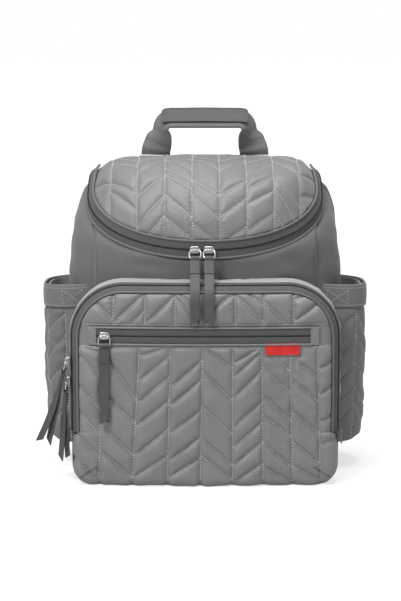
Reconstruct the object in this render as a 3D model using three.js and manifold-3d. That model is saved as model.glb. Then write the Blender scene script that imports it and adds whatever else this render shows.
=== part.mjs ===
// Quilted backpack-style diaper bag with a zipped dome lid, a fold-down front pocket face,
// a slip pocket, two side pockets, a carry handle and shoulder straps.
// Millimetres, +Z up. The front faces -Y. The origin is the middle of the base, on the floor.

import * as THREE from 'three';
import { mergeVertices } from 'three/addons/utils/BufferGeometryUtils.js';
import Module from 'manifold-3d';

const wasm = await Module();
wasm.setup();

// ---------------------------------------------------------------- driving dimensions

const GAP = 0.3; // between pieces that touch
const FAR = 600; // longer than the bag, for cutting blocks
const PAST = 1; // how far a hollow's cutter runs past the face it opens

// The bag is described by closed rings round it, each flat but tilted down towards the front.
const RING_POINTS = 36;
const FRONT_ROUNDNESS = 2.15; // superellipse power of a ring's front half
const REAR_ROUNDNESS = 5; // and of its flatter rear half
const RING_CENTRE_Y = 5;

const BODY_RINGS = [
  { halfWidth: 131, front: -68, rear: 50, zFront: 0, zRear: 0 },
  { halfWidth: 142, front: -76, rear: 57, zFront: 10, zRear: 10 },
  { halfWidth: 151, front: -79, rear: 58, zFront: 110, zRear: 110 },
  { halfWidth: 156, front: -80, rear: 58, zFront: 215, zRear: 230 },
  { halfWidth: 152, front: -81, rear: 58, zFront: 238, zRear: 298 },
  { halfWidth: 144, front: -82, rear: 58, zFront: 246, zRear: 333 },
  { halfWidth: 133, front: -80, rear: 56, zFront: 252, zRear: 341 },
  { halfWidth: 133, front: -80, rear: 56, zFront: 259.7, zRear: 348.7 },
];
const LID_RINGS = [
  { halfWidth: 133, front: -80, rear: 56, zFront: 260, zRear: 349 },
  { halfWidth: 132, front: -79.5, rear: 55, zFront: 269, zRear: 351.5 },
  { halfWidth: 130, front: -77, rear: 54, zFront: 288, zRear: 354 },
  { halfWidth: 125, front: -66, rear: 52, zFront: 312, zRear: 356 },
  { halfWidth: 113, front: -48, rear: 47, zFront: 331, zRear: 356.5 },
  { halfWidth: 80, front: -18, rear: 38, zFront: 345, zRear: 355.5 },
];
const PANEL_THICKNESS = 4;
const LINING_THICKNESS = 1.2;
const SEAM_X = 127; // front panel to side gusset
const BACK_SEAM_Y = 30; // side gusset to back panel
const BASE_HEIGHT = 5;
const BOARD = { halfWidth: 90, front: -38, rear: 32, thickness: 2 };

// Zip tapes: a strip each side of the chain
const TAPE_WIDTH = 7;
const TAPE_THICKNESS = 1.6;

// Front pocket: an arch outline that tapers forwards, with a pillowed face
const ARCH_STEPS = 7; // per corner
const POCKET_SAG = 9; // how far its sides lie behind its middle
const POCKET_RINGS = [
  { y: -30, halfWidth: 150, top: 232, cornerRadius: 64 },
  { y: -100, halfWidth: 149, top: 226, cornerRadius: 60 },
  { y: -108, halfWidth: 147, top: 223.5, cornerRadius: 58 },
  { y: -113, halfWidth: 143, top: 219.5, cornerRadius: 56 },
  { y: -118, halfWidth: 132, top: 208, cornerRadius: 52 },
  { y: -120, halfWidth: 96, top: 172, cornerRadius: 40 },
];
const POCKET_FOOT_RADIUS = 22;
const GUSSET_THICKNESS = 4;
const RIM_Y = -108; // where the gusset ends and the flap begins, at x = 0
const HOLLOW_PAST_RIM = 20;
const FLAP_HINGE_Z = 58;
const FLAP_BORDER = 6; // zip tape round the flap
const SLIP_ZIP = { left: -120, right: 116, low: 161, high: 178, setBack: 1.2 };
const SLIP_POUCH = { left: -116, right: 112, low: 78, high: 182, thickness: 3 };
const LABEL = { x: 85, width: 37, height: 12, thickness: 0.6 };
const END_TAB = { y: -99, width: 9, height: 14, thickness: 2.4, above: 2 };

// Side pockets: bulged panels between the front seam and the back panel
const SIDE_POCKET = {
  low: 33,
  high: 214,
  frontY: -40,
  rearY: 50,
  innerX: 120,
  wall: 3.2,
  depthPower: 0.7, // roundness of its plan, front to rear
  reachPower: 0.6, // and outwards
  hem: 24,
  hemThickness: 1.2,
  hemFlare: 3, // how far the hem stands out from the wall's top
};
const SIDE_POCKET_LEVELS = [
  { z: 33, reach: 170 },
  { z: 44, reach: 181 },
  { z: 120, reach: 185 },
  { z: 180, reach: 184 },
  { z: 214, reach: 182 },
];
const SIDE_POCKET_STEPS = 12;

// Carry handle: one strap, sewn flat to the back, twisted at its corners into a tilted grip
const HANDLE = {
  width: 35,
  thickness: 3.4,
  legX: 58, // at the fold line
  cornerX: 52, // where a leg turns into its corner
  footZ: 318,
  foldZ: 354,
  legY: 63.2,
  topY: 64,
  topZ: 397,
  cornerRadius: 13,
  tilt: 32, // degrees that the grip leans to face forwards
};
const GRIP = { halfLength: 39, overlap: 1, thickness: 1.6 };
const LEG_STEPS = 5;
const CORNER_STEPS = 6;

// Shoulder straps: a pad from the top of the back, then webbing to the foot of the back
const STRAP = {
  x: 62,
  width: 62,
  endWidth: 36,
  thickness: 10,
  bulge: 10,
  steps: 12,
  top: { y: 64, z: 314 },
  low: { y: 72, z: 112 },
};
const WEBBING = {
  width: 25,
  thickness: 1.8,
  bulge: 1,
  steps: 4,
  top: { y: 71, z: 78 },
  low: { y: 64.5, z: 34 },
};
const ANCHOR = { width: 34, thickness: 2.4, low: 24, high: 50 };
const LADDER = { width: 34, height: 30, thickness: 3.6, bar: 4, slot: 5, slots: 3, low: 79, y: 74 };

// Zip sliders and pulls. A slider's pull is a wire ring and a leather strip folded over it.
const SLIDER = { length: 12, width: 8.5, thickness: 2.8, nose: 3, tail: 1 };
const BRIDGE = { span: 7, inside: 2.8, wall: 1.2, width: 2.4, sunk: 0.5, power: 0.5, steps: 8 };
const RING = { halfWidth: 6.4, halfHeight: 5, wire: 0.9, squareness: 6, steps: 20, sides: 6 };
const RING_TANGENT = 0.05; // radians each way to a wire section's neighbours
const LEATHER_STRIP = {
  width: 10.4,
  layer: 1.3,
  hole: 1.6, // inner radius of the fold round the ring
  belowHole: 0.5, // where the two layers meet
  foldSteps: 6,
  collarStart: 5,
  collarHeight: 14,
  collarThickness: 4.6,
  collarWidth: 11.8,
};
const PIVOT_HEIGHT = SLIDER.thickness + BRIDGE.inside / 2; // ring's wire over the slider's underside
// Each strip is a list of [length, lean away from the bag in degrees]; the first is the ring.
const OVER_POCKET = [[18, 34], [14, 42], [12, 38], [12, 18], [12, 6], [8, 2]];
const SLIDERS = [
  {
    name: 'main_left',
    parent: 'bag',
    at: [-11.1, -83, 260],
    turn: 0,
    ringLean: 35,
    strip: OVER_POCKET,
    slant: -8,
  },
  {
    name: 'main_right',
    parent: 'bag',
    at: [4.5, -83, 260],
    turn: 0,
    ringLean: 35,
    strip: OVER_POCKET,
    slant: 8,
  },
  {
    name: 'slip',
    parent: 'flap',
    at: [-110, -114.6, 169.5],
    turn: -5, // along the sagging face
    ringLean: 2,
    strip: [[20, 2], [30, 2], [35, 1]],
    slant: -6,
  },
  {
    name: 'flap_upper',
    parent: 'bag',
    at: [-149.4, -101, 139],
    turn: -90,
    ringLean: 15,
    strip: [[18, 14], [20, 14], [22, 16], [25, 18]],
    slant: -6,
  },
  {
    name: 'flap_lower',
    parent: 'bag',
    at: [-149.4, -101, 117],
    turn: -90,
    ringLean: 4,
    strip: [[18, 4], [25, 1], [35, 0]],
    slant: 6,
  },
];

// ---------------------------------------------------------------- colours

const QUILT = { color: 0x8a8b8e, roughness: 0.62, metalness: 0 };
const TWILL = { color: 0x68666a, roughness: 0.7, metalness: 0 };
const TAPE = { color: 0x46474a, roughness: 0.8, metalness: 0 };
const LEATHER = { color: 0x58595b, roughness: 0.5, metalness: 0 };
const GRIP_LEATHER = { color: 0x6a6b6d, roughness: 0.5, metalness: 0 };
const LINING = { color: 0xb9babc, roughness: 0.85, metalness: 0 };
const WEB = { color: 0x4c4d50, roughness: 0.8, metalness: 0 };
const CHROME = { color: 0xc9ccd0, roughness: 0.22, metalness: 1 };
const PLASTIC = { color: 0x2f3032, roughness: 0.5, metalness: 0 };
const RED = { color: 0xd8232a, roughness: 0.7, metalness: 0 };
const BOARD_GREY = { color: 0x9b9b98, roughness: 0.8, metalness: 0 };

// ---------------------------------------------------------------- geometry helpers

const bag = new THREE.Group();
const vec = (x, y, z) => new THREE.Vector3(x, y, z);
const radians = THREE.MathUtils.degToRad;

function addPiece(name, geometry, look, parent = bag) {
  const mesh = new THREE.Mesh(geometry, new THREE.MeshStandardMaterial(look));
  mesh.name = name;
  parent.add(mesh);
  return mesh;
}

function signedVolume(positions, indices) {
  let six = 0;
  const corner = (i) => vec(...positions.slice(3 * indices[i], 3 * indices[i] + 3));
  for (let i = 0; i < indices.length; i += 3) {
    six += corner(i).dot(corner(i + 1).cross(corner(i + 2)));
  }
  return six / 6;
}

// A closed solid through rings of equally many points; open lofts are capped at both ends.
function loft(rings, closed = false) {
  const sides = rings[0].length;
  const points = rings.flat();
  const indices = [];
  const spans = closed ? rings.length : rings.length - 1;
  for (let i = 0; i < spans; i += 1) {
    const here = i * sides;
    const next = ((i + 1) % rings.length) * sides;
    for (let j = 0; j < sides; j += 1) {
      const k = (j + 1) % sides;
      indices.push(here + j, here + k, next + k, here + j, next + k, next + j);
    }
  }
  if (!closed) {
    const centre = (ring) => ring.reduce((sum, p) => sum.add(p), vec(0, 0, 0)).divideScalar(sides);
    const last = (rings.length - 1) * sides;
    points.push(centre(rings[0]), centre(rings[rings.length - 1]));
    for (let j = 0; j < sides; j += 1) {
      const k = (j + 1) % sides;
      indices.push(points.length - 2, k, j, points.length - 1, last + j, last + k);
    }
  }
  const positions = points.flatMap((p) => [p.x, p.y, p.z]);
  if (signedVolume(positions, indices) < 0) {
    indices.reverse();
  }
  const geometry = new THREE.BufferGeometry();
  geometry.setAttribute('position', new THREE.Float32BufferAttribute(positions, 3));
  geometry.setIndex(indices);
  geometry.computeVertexNormals();
  return geometry;
}

function solid(geometry) {
  const bare = new THREE.BufferGeometry();
  bare.setAttribute('position', geometry.getAttribute('position').clone());
  if (geometry.index) {
    bare.setIndex(geometry.index.clone());
  }
  const merged = mergeVertices(bare, 1e-4);
  return new wasm.Manifold(
    new wasm.Mesh({
      numProp: 3,
      vertProperties: new Float32Array(merged.getAttribute('position').array),
      triVerts: new Uint32Array(merged.index.array),
    }),
  );
}

function geometryOf(manifold) {
  const mesh = manifold.getMesh();
  const geometry = new THREE.BufferGeometry();
  geometry.setAttribute('position', new THREE.BufferAttribute(mesh.vertProperties, 3));
  geometry.setIndex(new THREE.BufferAttribute(mesh.triVerts, 1));
  geometry.computeVertexNormals();
  return geometry;
}

function block({ x = [-FAR, FAR], y = [-FAR, FAR], z = [-FAR, FAR] }) {
  const size = [x, y, z].map(([low, high]) => high - low);
  const middle = [x, y, z].map(([low, high]) => (low + high) / 2);
  return new THREE.BoxGeometry(...size).translate(...middle);
}

const cutter = (limits) => solid(block(limits));
const mirrorX = (geometry) => {
  const flipped = geometry.clone().scale(-1, 1, 1);
  const index = flipped.index.array;
  for (let i = 0; i < index.length; i += 3) {
    [index[i], index[i + 1]] = [index[i + 1], index[i]];
  }
  flipped.computeVertexNormals();
  return flipped;
};

// ---------------------------------------------------------------- the rings round the bag

const power = (value, exponent) => Math.sign(value) * Math.abs(value) ** exponent;

function ringPoint(ring, angle, inset = 0, lift = 0) {
  const rear = Math.sin(angle) > 0;
  const exponent = 2 / (rear ? REAR_ROUNDNESS : FRONT_ROUNDNESS);
  const depth = (rear ? ring.rear - RING_CENTRE_Y : RING_CENTRE_Y - ring.front) - inset;
  const x = (ring.halfWidth - inset) * power(Math.cos(angle), exponent);
  const y = RING_CENTRE_Y + depth * power(Math.sin(angle), exponent);
  const slope = (ring.zRear - ring.zFront) / (ring.rear - ring.front);
  return vec(x, y, ring.zFront + slope * (y - ring.front) + lift);
}

function ringPoints(ring, inset = 0, lift = 0) {
  const points = [];
  for (let i = 0; i < RING_POINTS; i += 1) {
    points.push(ringPoint(ring, (2 * Math.PI * i) / RING_POINTS, inset, lift));
  }
  return points;
}

function bodySolid(inset, { floor = 0, raise = 0 } = {}) {
  const rings = BODY_RINGS.map((ring, i) => ringPoints(ring, inset, i === 0 ? floor : 0));
  if (raise > 0) {
    rings.push(ringPoints(BODY_RINGS.at(-1), inset, raise));
  }
  return solid(loft(rings));
}

// The lid's rings drop by a growing share of top, so that its hollow closes under the crown.
function lidSolid(inset, { drop = 0, top = 0 } = {}) {
  const last = LID_RINGS.length - 1;
  const rings = LID_RINGS.map((ring, i) => ringPoints(ring, inset, (-top * i) / last));
  if (drop > 0) {
    rings.unshift(ringPoints(LID_RINGS[0], inset, -drop));
  }
  return solid(loft(rings));
}

// ---------------------------------------------------------------- main body

const OPEN_TOP = 30; // how far a hollow's cutter runs past the zip plane
const bodyOuter = bodySolid(0);
const tub = bodyOuter.subtract(bodySolid(PANEL_THICKNESS, { floor: PANEL_THICKNESS, raise: OPEN_TOP }));
const aboveBase = { z: [BASE_HEIGHT + GAP, FAR] };
const beforeBack = { y: [-FAR, BACK_SEAM_Y - GAP / 2] };

addPiece('base_panel', geometryOf(tub.intersect(cutter({ z: [-FAR, BASE_HEIGHT] }))), TWILL);
addPiece(
  'front_panel',
  geometryOf(tub.intersect(cutter({ x: [-SEAM_X, SEAM_X], ...beforeBack, ...aboveBase }))),
  TWILL,
);
const gussetRight = geometryOf(
  tub.intersect(cutter({ x: [SEAM_X + GAP, FAR], ...beforeBack, ...aboveBase })),
);
addPiece('side_gusset_right', gussetRight, TWILL);
addPiece('side_gusset_left', mirrorX(gussetRight), TWILL);
addPiece(
  'back_panel',
  geometryOf(tub.intersect(cutter({ y: [BACK_SEAM_Y + GAP / 2, FAR], ...aboveBase }))),
  TWILL,
);

const liningInset = PANEL_THICKNESS + GAP;
const liningOuter = bodySolid(liningInset, { floor: liningInset });
const liningInner = bodySolid(liningInset + LINING_THICKNESS, {
  floor: liningInset + LINING_THICKNESS,
  raise: OPEN_TOP,
});
addPiece('main_lining', geometryOf(liningOuter.subtract(liningInner)), LINING);

const boardBottom = liningInset + LINING_THICKNESS + GAP;
addPiece(
  'base_board',
  block({
    x: [-BOARD.halfWidth, BOARD.halfWidth],
    y: [BOARD.front, BOARD.rear],
    z: [boardBottom, boardBottom + BOARD.thickness],
  }),
  BOARD_GREY,
);

// ---------------------------------------------------------------- lid and the zip between

const ZIP_RING = BODY_RINGS.at(-1);
const LID_RING = LID_RINGS[0];
const ZIP_START = radians(158); // the zip runs round the front between the two rear corners
const ZIP_END = radians(382);
const ZIP_STEPS = 30;

// A strip that follows a ring round the front: its section is a box standing out from the ring.
function ringStrip(ring, low, high, inner, outer) {
  const sections = [];
  for (let i = 0; i <= ZIP_STEPS; i += 1) {
    const angle = ZIP_START + ((ZIP_END - ZIP_START) * i) / ZIP_STEPS;
    sections.push([
      ringPoint(ring, angle, -inner, low),
      ringPoint(ring, angle, -outer, low),
      ringPoint(ring, angle, -outer, high),
      ringPoint(ring, angle, -inner, high),
    ]);
  }
  return loft(sections);
}

const lid = new THREE.Group();
bag.add(lid);
const lidOuter = lidSolid(0);
const lidHollow = lidSolid(PANEL_THICKNESS, { drop: OPEN_TOP, top: PANEL_THICKNESS });
addPiece('lid_panel', geometryOf(lidOuter.subtract(lidHollow)), QUILT, lid);
const lidLiningInset = liningInset + 2 * GAP;
const lidLining = lidSolid(lidLiningInset, { top: lidLiningInset }).subtract(
  lidSolid(lidLiningInset + LINING_THICKNESS, {
    drop: OPEN_TOP,
    top: lidLiningInset + LINING_THICKNESS,
  }),
);
addPiece('lid_lining', geometryOf(lidLining), LINING, lid);
addPiece(
  'lid_zip_tape',
  ringStrip(LID_RING, GAP, TAPE_WIDTH, 2 * GAP, 2 * GAP + TAPE_THICKNESS),
  TAPE,
  lid,
);
addPiece(
  'body_zip_tape',
  ringStrip(LID_RING, -TAPE_WIDTH, -GAP, GAP, GAP + TAPE_THICKNESS),
  TAPE,
);

// ---------------------------------------------------------------- front pocket

// An arch in the XZ plane: upright sides, round top corners and rounded feet.
function archPoints({ y, halfWidth, top, cornerRadius }, inset = 0) {
  const half = halfWidth - inset;
  const points = [];
  const arc = (centreX, centreZ, radius, from, to) => {
    for (let i = 0; i <= ARCH_STEPS; i += 1) {
      const a = radians(from + ((to - from) * i) / ARCH_STEPS);
      points.push([centreX + radius * Math.cos(a), centreZ + radius * Math.sin(a)]);
    }
  };
  const corner = cornerRadius - inset;
  const foot = POCKET_FOOT_RADIUS - inset;
  arc(half - corner, top - inset - corner, corner, 0, 90);
  for (const share of [0.5, 0, -0.5]) {
    points.push([share * (half - corner), top - inset]);
  }
  arc(corner - half, top - inset - corner, corner, 90, 180);
  arc(foot - half, foot + inset, foot, 180, 270);
  for (const share of [-0.5, 0, 0.5]) {
    points.push([share * (half - foot), inset]);
  }
  arc(half - foot, foot + inset, foot, 270, 360);
  return points.map(([x, z]) => vec(x, y + POCKET_SAG * (x / POCKET_RINGS[0].halfWidth) ** 2, z));
}

// Everything behind a sagging sheet through the middle line at y, as a cutting block.
function behindSag(y) {
  const shape = new THREE.Shape();
  const edge = 170;
  const steps = 16;
  shape.moveTo(-edge, FAR);
  for (let i = 0; i <= steps; i += 1) {
    const x = -edge + (2 * edge * i) / steps;
    shape.lineTo(x, y + POCKET_SAG * (x / POCKET_RINGS[0].halfWidth) ** 2);
  }
  shape.lineTo(edge, FAR);
  const prism = new THREE.ExtrudeGeometry(shape, { depth: FAR, bevelEnabled: false });
  return solid(prism.translate(0, 0, -FAR / 2));
}

const clearOfBody = bodySolid(-GAP);
const pocketOuter = solid(loft(POCKET_RINGS.map((ring) => archPoints(ring))));
const straightRings = POCKET_RINGS.slice(0, 3);
const hollowFront = { ...straightRings.at(-1), y: RIM_Y - HOLLOW_PAST_RIM };
const pocketHollow = solid(
  loft([...straightRings, hollowFront].map((ring) => archPoints(ring, GUSSET_THICKNESS))),
);
const gussetBand = pocketOuter
  .intersect(behindSag(RIM_Y))
  .subtract(pocketHollow)
  .subtract(clearOfBody);
const aboveHinge = cutter({ z: [FLAP_HINGE_Z + GAP, FAR] });
const belowHinge = cutter({ z: [-FAR, FLAP_HINGE_Z] });
const tapeRim = behindSag(RIM_Y + TAPE_WIDTH);
addPiece('pocket_gusset', geometryOf(gussetBand.intersect(aboveHinge).intersect(tapeRim)), TWILL);
const gussetTape = gussetBand
  .intersect(aboveHinge)
  .subtract(behindSag(RIM_Y + TAPE_WIDTH - GAP));
addPiece('pocket_zip_tape', geometryOf(gussetTape), TAPE);

const baseHollowRings = [POCKET_RINGS[0], { ...POCKET_RINGS[1], y: RIM_Y - GUSSET_THICKNESS }];
const baseHollow = solid(loft(baseHollowRings.map((ring) => archPoints(ring, GUSSET_THICKNESS))));
const pocketBase = pocketOuter
  .subtract(baseHollow)
  .subtract(clearOfBody)
  .intersect(belowHinge);
addPiece('pocket_base_panel', geometryOf(pocketBase), QUILT);

const frontFlap = new THREE.Group();
bag.add(frontFlap);
const flapBlank = pocketOuter.subtract(behindSag(RIM_Y - GAP)).intersect(aboveHinge);
const rimRing = POCKET_RINGS[2];
const archPrism = (inset) =>
  solid(loft([{ ...rimRing, y: -FAR }, { ...rimRing, y: FAR }].map((ring) => archPoints(ring, inset))));
addPiece('flap_zip_tape', geometryOf(flapBlank.subtract(archPrism(FLAP_BORDER))), TAPE, frontFlap);
const slipWindow = {
  x: [SLIP_ZIP.left, SLIP_ZIP.right],
  y: [-FAR, 0],
  z: [SLIP_ZIP.low, SLIP_ZIP.high],
};
const flapFace = flapBlank.intersect(archPrism(FLAP_BORDER + GAP));
addPiece('flap_panel', geometryOf(flapFace.subtract(cutter(slipWindow))), QUILT, frontFlap);
const slipTape = flapFace
  .intersect(
    cutter({
      x: [SLIP_ZIP.left + GAP, SLIP_ZIP.right - GAP],
      z: [SLIP_ZIP.low + GAP, SLIP_ZIP.high - GAP],
    }),
  )
  .intersect(pocketOuter.translate([0, SLIP_ZIP.setBack, 0]));
addPiece('slip_zip_tape', geometryOf(slipTape), TAPE, frontFlap);
const slipPouch = cutter({
  x: [SLIP_POUCH.left, SLIP_POUCH.right],
  z: [SLIP_POUCH.low, SLIP_POUCH.high],
})
  .intersect(behindSag(RIM_Y))
  .subtract(behindSag(RIM_Y + SLIP_POUCH.thickness));
addPiece('slip_pouch_lining', geometryOf(slipPouch), LINING, frontFlap);

// ---------------------------------------------------------------- side pockets

function sidePocketLevel({ z, reach }, inset) {
  const points = [];
  const { frontY, rearY, innerX, depthPower, reachPower } = SIDE_POCKET;
  const middleY = (frontY + rearY) / 2;
  const halfDepth = (rearY - frontY) / 2 - inset;
  for (let i = 0; i <= SIDE_POCKET_STEPS; i += 1) {
    const a = radians(-90 + (180 * i) / SIDE_POCKET_STEPS);
    const y = middleY + halfDepth * power(Math.sin(a), depthPower);
    points.push(vec(innerX + (reach - innerX - inset) * power(Math.cos(a), reachPower), y, z));
  }
  return points;
}

function sidePocketSolid(inset, low, high) {
  const levels = SIDE_POCKET_LEVELS.map((level) => ({ ...level }));
  levels[0].z = low;
  levels.at(-1).z = high;
  return solid(loft(levels.map((level) => sidePocketLevel(level, inset))));
}

const { low: pocketLow, high: pocketHigh, wall: pocketThickness } = SIDE_POCKET;
const pocketWall = sidePocketSolid(0, pocketLow, pocketHigh)
  .subtract(sidePocketSolid(pocketThickness, pocketLow + pocketThickness, pocketHigh + PAST))
  .subtract(clearOfBody)
  .subtract(solid(loft(straightRings.map((ring) => archPoints(ring, -GAP)))));
const pocketRight = geometryOf(pocketWall);
addPiece('side_pocket_right', pocketRight, QUILT);
addPiece('side_pocket_left', mirrorX(pocketRight), QUILT);

// The hem is a thin binding outside the top of the pocket wall.
const hemLow = SIDE_POCKET.high - SIDE_POCKET.hem;
const hemBand = (inset) => {
  const top = SIDE_POCKET_LEVELS.at(-1).reach;
  const ring = { reach: top + SIDE_POCKET.hemFlare };
  return solid(
    loft([hemLow, SIDE_POCKET.high].map((z) => sidePocketLevel({ ...ring, z }, inset))),
  );
};
const hem = hemBand(-SIDE_POCKET.hemThickness - GAP)
  .subtract(hemBand(-GAP))
  .subtract(clearOfBody)
  .subtract(solid(loft(straightRings.map((ring) => archPoints(ring, -GAP)))));
const hemRight = geometryOf(hem);
addPiece('side_pocket_hem_right', hemRight, QUILT);
addPiece('side_pocket_hem_left', mirrorX(hemRight), QUILT);

// ---------------------------------------------------------------- trim on the front

const FACE_Y = POCKET_RINGS.at(-1).y;
const labelTop = SLIP_ZIP.low - GAP;
const labelSolid = cutter({
  x: [LABEL.x - LABEL.width / 2, LABEL.x + LABEL.width / 2],
  z: [labelTop - LABEL.height, labelTop],
})
  .intersect(behindSag(FACE_Y - GAP - LABEL.thickness))
  .subtract(behindSag(FACE_Y - GAP));
addPiece('blank_label', geometryOf(labelSolid), RED, frontFlap);

for (const [side, sign] of [['left', -1], ['right', 1]]) {
  const tab = new THREE.BoxGeometry(END_TAB.thickness, END_TAB.width, END_TAB.height);
  const mesh = addPiece(`zip_end_tab_${side}`, tab, TWILL);
  mesh.position.set(
    sign * (POCKET_RINGS[0].halfWidth + END_TAB.thickness / 2 + GAP),
    END_TAB.y,
    FLAP_HINGE_Z + END_TAB.above - END_TAB.height / 2,
  );
}

// ---------------------------------------------------------------- carry handle

const tilt = radians(HANDLE.tilt);
const gripAcross = vec(0, -Math.cos(tilt), -Math.sin(tilt));

// Places from the left fold line up to the middle of the grip: where, which way, how twisted.
function leftHalfHandle() {
  const stations = [];
  const { foldZ, topZ, cornerRadius, legX, cornerX } = HANDLE;
  const cornerZ = topZ - cornerRadius;
  const push = (x, z, along) => {
    const twist = Math.min((z - foldZ) / (topZ - foldZ), 1);
    const across = vec(-1, 0, 0).lerp(gripAcross, twist);
    across.addScaledVector(along, -across.dot(along)).normalize();
    const y = HANDLE.legY + (HANDLE.topY - HANDLE.legY) * twist;
    stations.push({ at: vec(x, y, z), along, across });
  };
  const lean = vec(legX - cornerX, 0, cornerZ - foldZ).normalize();
  for (let i = 0; i <= LEG_STEPS; i += 1) {
    const t = i / LEG_STEPS;
    const along = i === 0 ? vec(0, 0, 1) : lean.clone();
    push(-legX + (legX - cornerX) * t, foldZ + GAP + (cornerZ - foldZ - GAP) * t, along);
  }
  for (let i = 1; i <= CORNER_STEPS; i += 1) {
    const a = radians((90 * i) / CORNER_STEPS);
    const x = -cornerX + cornerRadius * (1 - Math.cos(a));
    push(x, cornerZ + cornerRadius * Math.sin(a), vec(Math.sin(a), 0, Math.cos(a)));
  }
  return stations;
}

function handleStations() {
  const left = leftHalfHandle();
  const right = left.map(({ at, along, across }) => ({
    at: vec(-at.x, at.y, at.z),
    along: vec(along.x, along.y, -along.z),
    across: vec(-across.x, across.y, across.z),
  }));
  return [...left, ...right.reverse()];
}

// A flat strap through stations; low and high are its faces' heights over the middle plane.
function strapThrough(stations, width, low, high) {
  const rings = stations.map(({ at, along, across }) => {
    const up = across.clone().cross(along);
    const corner = (side, height) =>
      at.clone().addScaledVector(across, (side * width) / 2).addScaledVector(up, height);
    return [corner(-1, low), corner(1, low), corner(1, high), corner(-1, high)];
  });
  return loft(rings);
}

const handle = new THREE.Group();
bag.add(handle);
addPiece(
  'handle_strap',
  strapThrough(
    handleStations(),
    HANDLE.width,
    -HANDLE.thickness / 2,
    HANDLE.thickness / 2,
  ),
  TWILL,
  handle,
);
const gripStations = [-1, -0.5, 0, 0.5, 1].map((share) => ({
  at: vec(share * GRIP.halfLength, HANDLE.topY, HANDLE.topZ),
  along: vec(1, 0, 0),
  across: gripAcross,
}));
addPiece(
  'handle_grip',
  strapThrough(
    gripStations,
    HANDLE.width + 2 * GRIP.overlap,
    HANDLE.thickness / 2 + GAP,
    HANDLE.thickness / 2 + GAP + GRIP.thickness,
  ),
  GRIP_LEATHER,
  handle,
);
for (const [side, sign] of [['left', -1], ['right', 1]]) {
  addPiece(
    `handle_anchor_${side}`,
    block({
      x: [sign * HANDLE.legX - HANDLE.width / 2, sign * HANDLE.legX + HANDLE.width / 2],
      y: [HANDLE.legY - HANDLE.thickness / 2, HANDLE.legY + HANDLE.thickness / 2],
      z: [HANDLE.footZ, HANDLE.foldZ - GAP],
    }),
    TWILL,
  );
}

// ---------------------------------------------------------------- shoulder straps

// Points down a strap's middle plane, [y, z], and the same strap's width at each.
function backStrap(x, path, thickness) {
  const rings = path.map(([y, z, width], i) => {
    const [y0, z0] = path[Math.max(i - 1, 0)];
    const [y1, z1] = path[Math.min(i + 1, path.length - 1)];
    const run = Math.hypot(y1 - y0, z1 - z0);
    const out = vec(0, -(z1 - z0) / run, (y1 - y0) / run).multiplyScalar(thickness / 2);
    const middle = vec(x, y, z);
    const across = vec(width / 2, 0, 0);
    return [
      middle.clone().sub(across).sub(out),
      middle.clone().add(across).sub(out),
      middle.clone().add(across).add(out),
      middle.clone().sub(across).add(out),
    ];
  });
  return loft(rings);
}

function arcPath(from, to, bulge, width, steps) {
  const path = [];
  for (let i = 0; i <= steps; i += 1) {
    const t = i / steps;
    const z = from.z + (to.z - from.z) * t;
    const y = from.y + (to.y - from.y) * t + bulge * Math.sin(Math.PI * t);
    path.push([y, z, width(t)]);
  }
  return path;
}

for (const [side, sign] of [['left', -1], ['right', 1]]) {
  const x = sign * STRAP.x;
  const taper = (t) => STRAP.width - (STRAP.width - STRAP.endWidth) * t ** 3;
  const padPath = arcPath(STRAP.top, STRAP.low, STRAP.bulge, taper, STRAP.steps);
  addPiece(`shoulder_strap_${side}`, backStrap(x, padPath, STRAP.thickness), TWILL);
  const even = () => WEBBING.width;
  const webPath = arcPath(WEBBING.top, WEBBING.low, WEBBING.bulge, even, WEBBING.steps);
  addPiece(`strap_webbing_${side}`, backStrap(x, webPath, WEBBING.thickness), WEB);
  addPiece(
    `strap_anchor_${side}`,
    block({
      x: [x - ANCHOR.width / 2, x + ANCHOR.width / 2],
      y: [BODY_RINGS[2].rear + GAP, BODY_RINGS[2].rear + GAP + ANCHOR.thickness],
      z: [ANCHOR.low, ANCHOR.high],
    }),
    TWILL,
  );
  const frame = new THREE.Shape();
  const halfFrame = LADDER.width / 2;
  frame.moveTo(-halfFrame, 0);
  frame.lineTo(halfFrame, 0);
  frame.lineTo(halfFrame, LADDER.height);
  frame.lineTo(-halfFrame, LADDER.height);
  frame.closePath();
  for (let slot = 0; slot < LADDER.slots; slot += 1) {
    const low = LADDER.bar + slot * (LADDER.bar + LADDER.slot);
    const hole = new THREE.Path();
    const halfSlot = halfFrame - LADDER.bar;
    hole.moveTo(-halfSlot, low);
    hole.lineTo(-halfSlot, low + LADDER.slot);
    hole.lineTo(halfSlot, low + LADDER.slot);
    hole.lineTo(halfSlot, low);
    hole.closePath();
    frame.holes.push(hole);
  }
  const lock = new THREE.ExtrudeGeometry(frame, { depth: LADDER.thickness, bevelEnabled: false });
  const lockMesh = addPiece(`ladder_lock_${side}`, lock, PLASTIC);
  lockMesh.rotation.x = Math.PI / 2;
  lockMesh.position.set(x, LADDER.y, LADDER.low);
}

// ---------------------------------------------------------------- zip sliders and pulls

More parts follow.
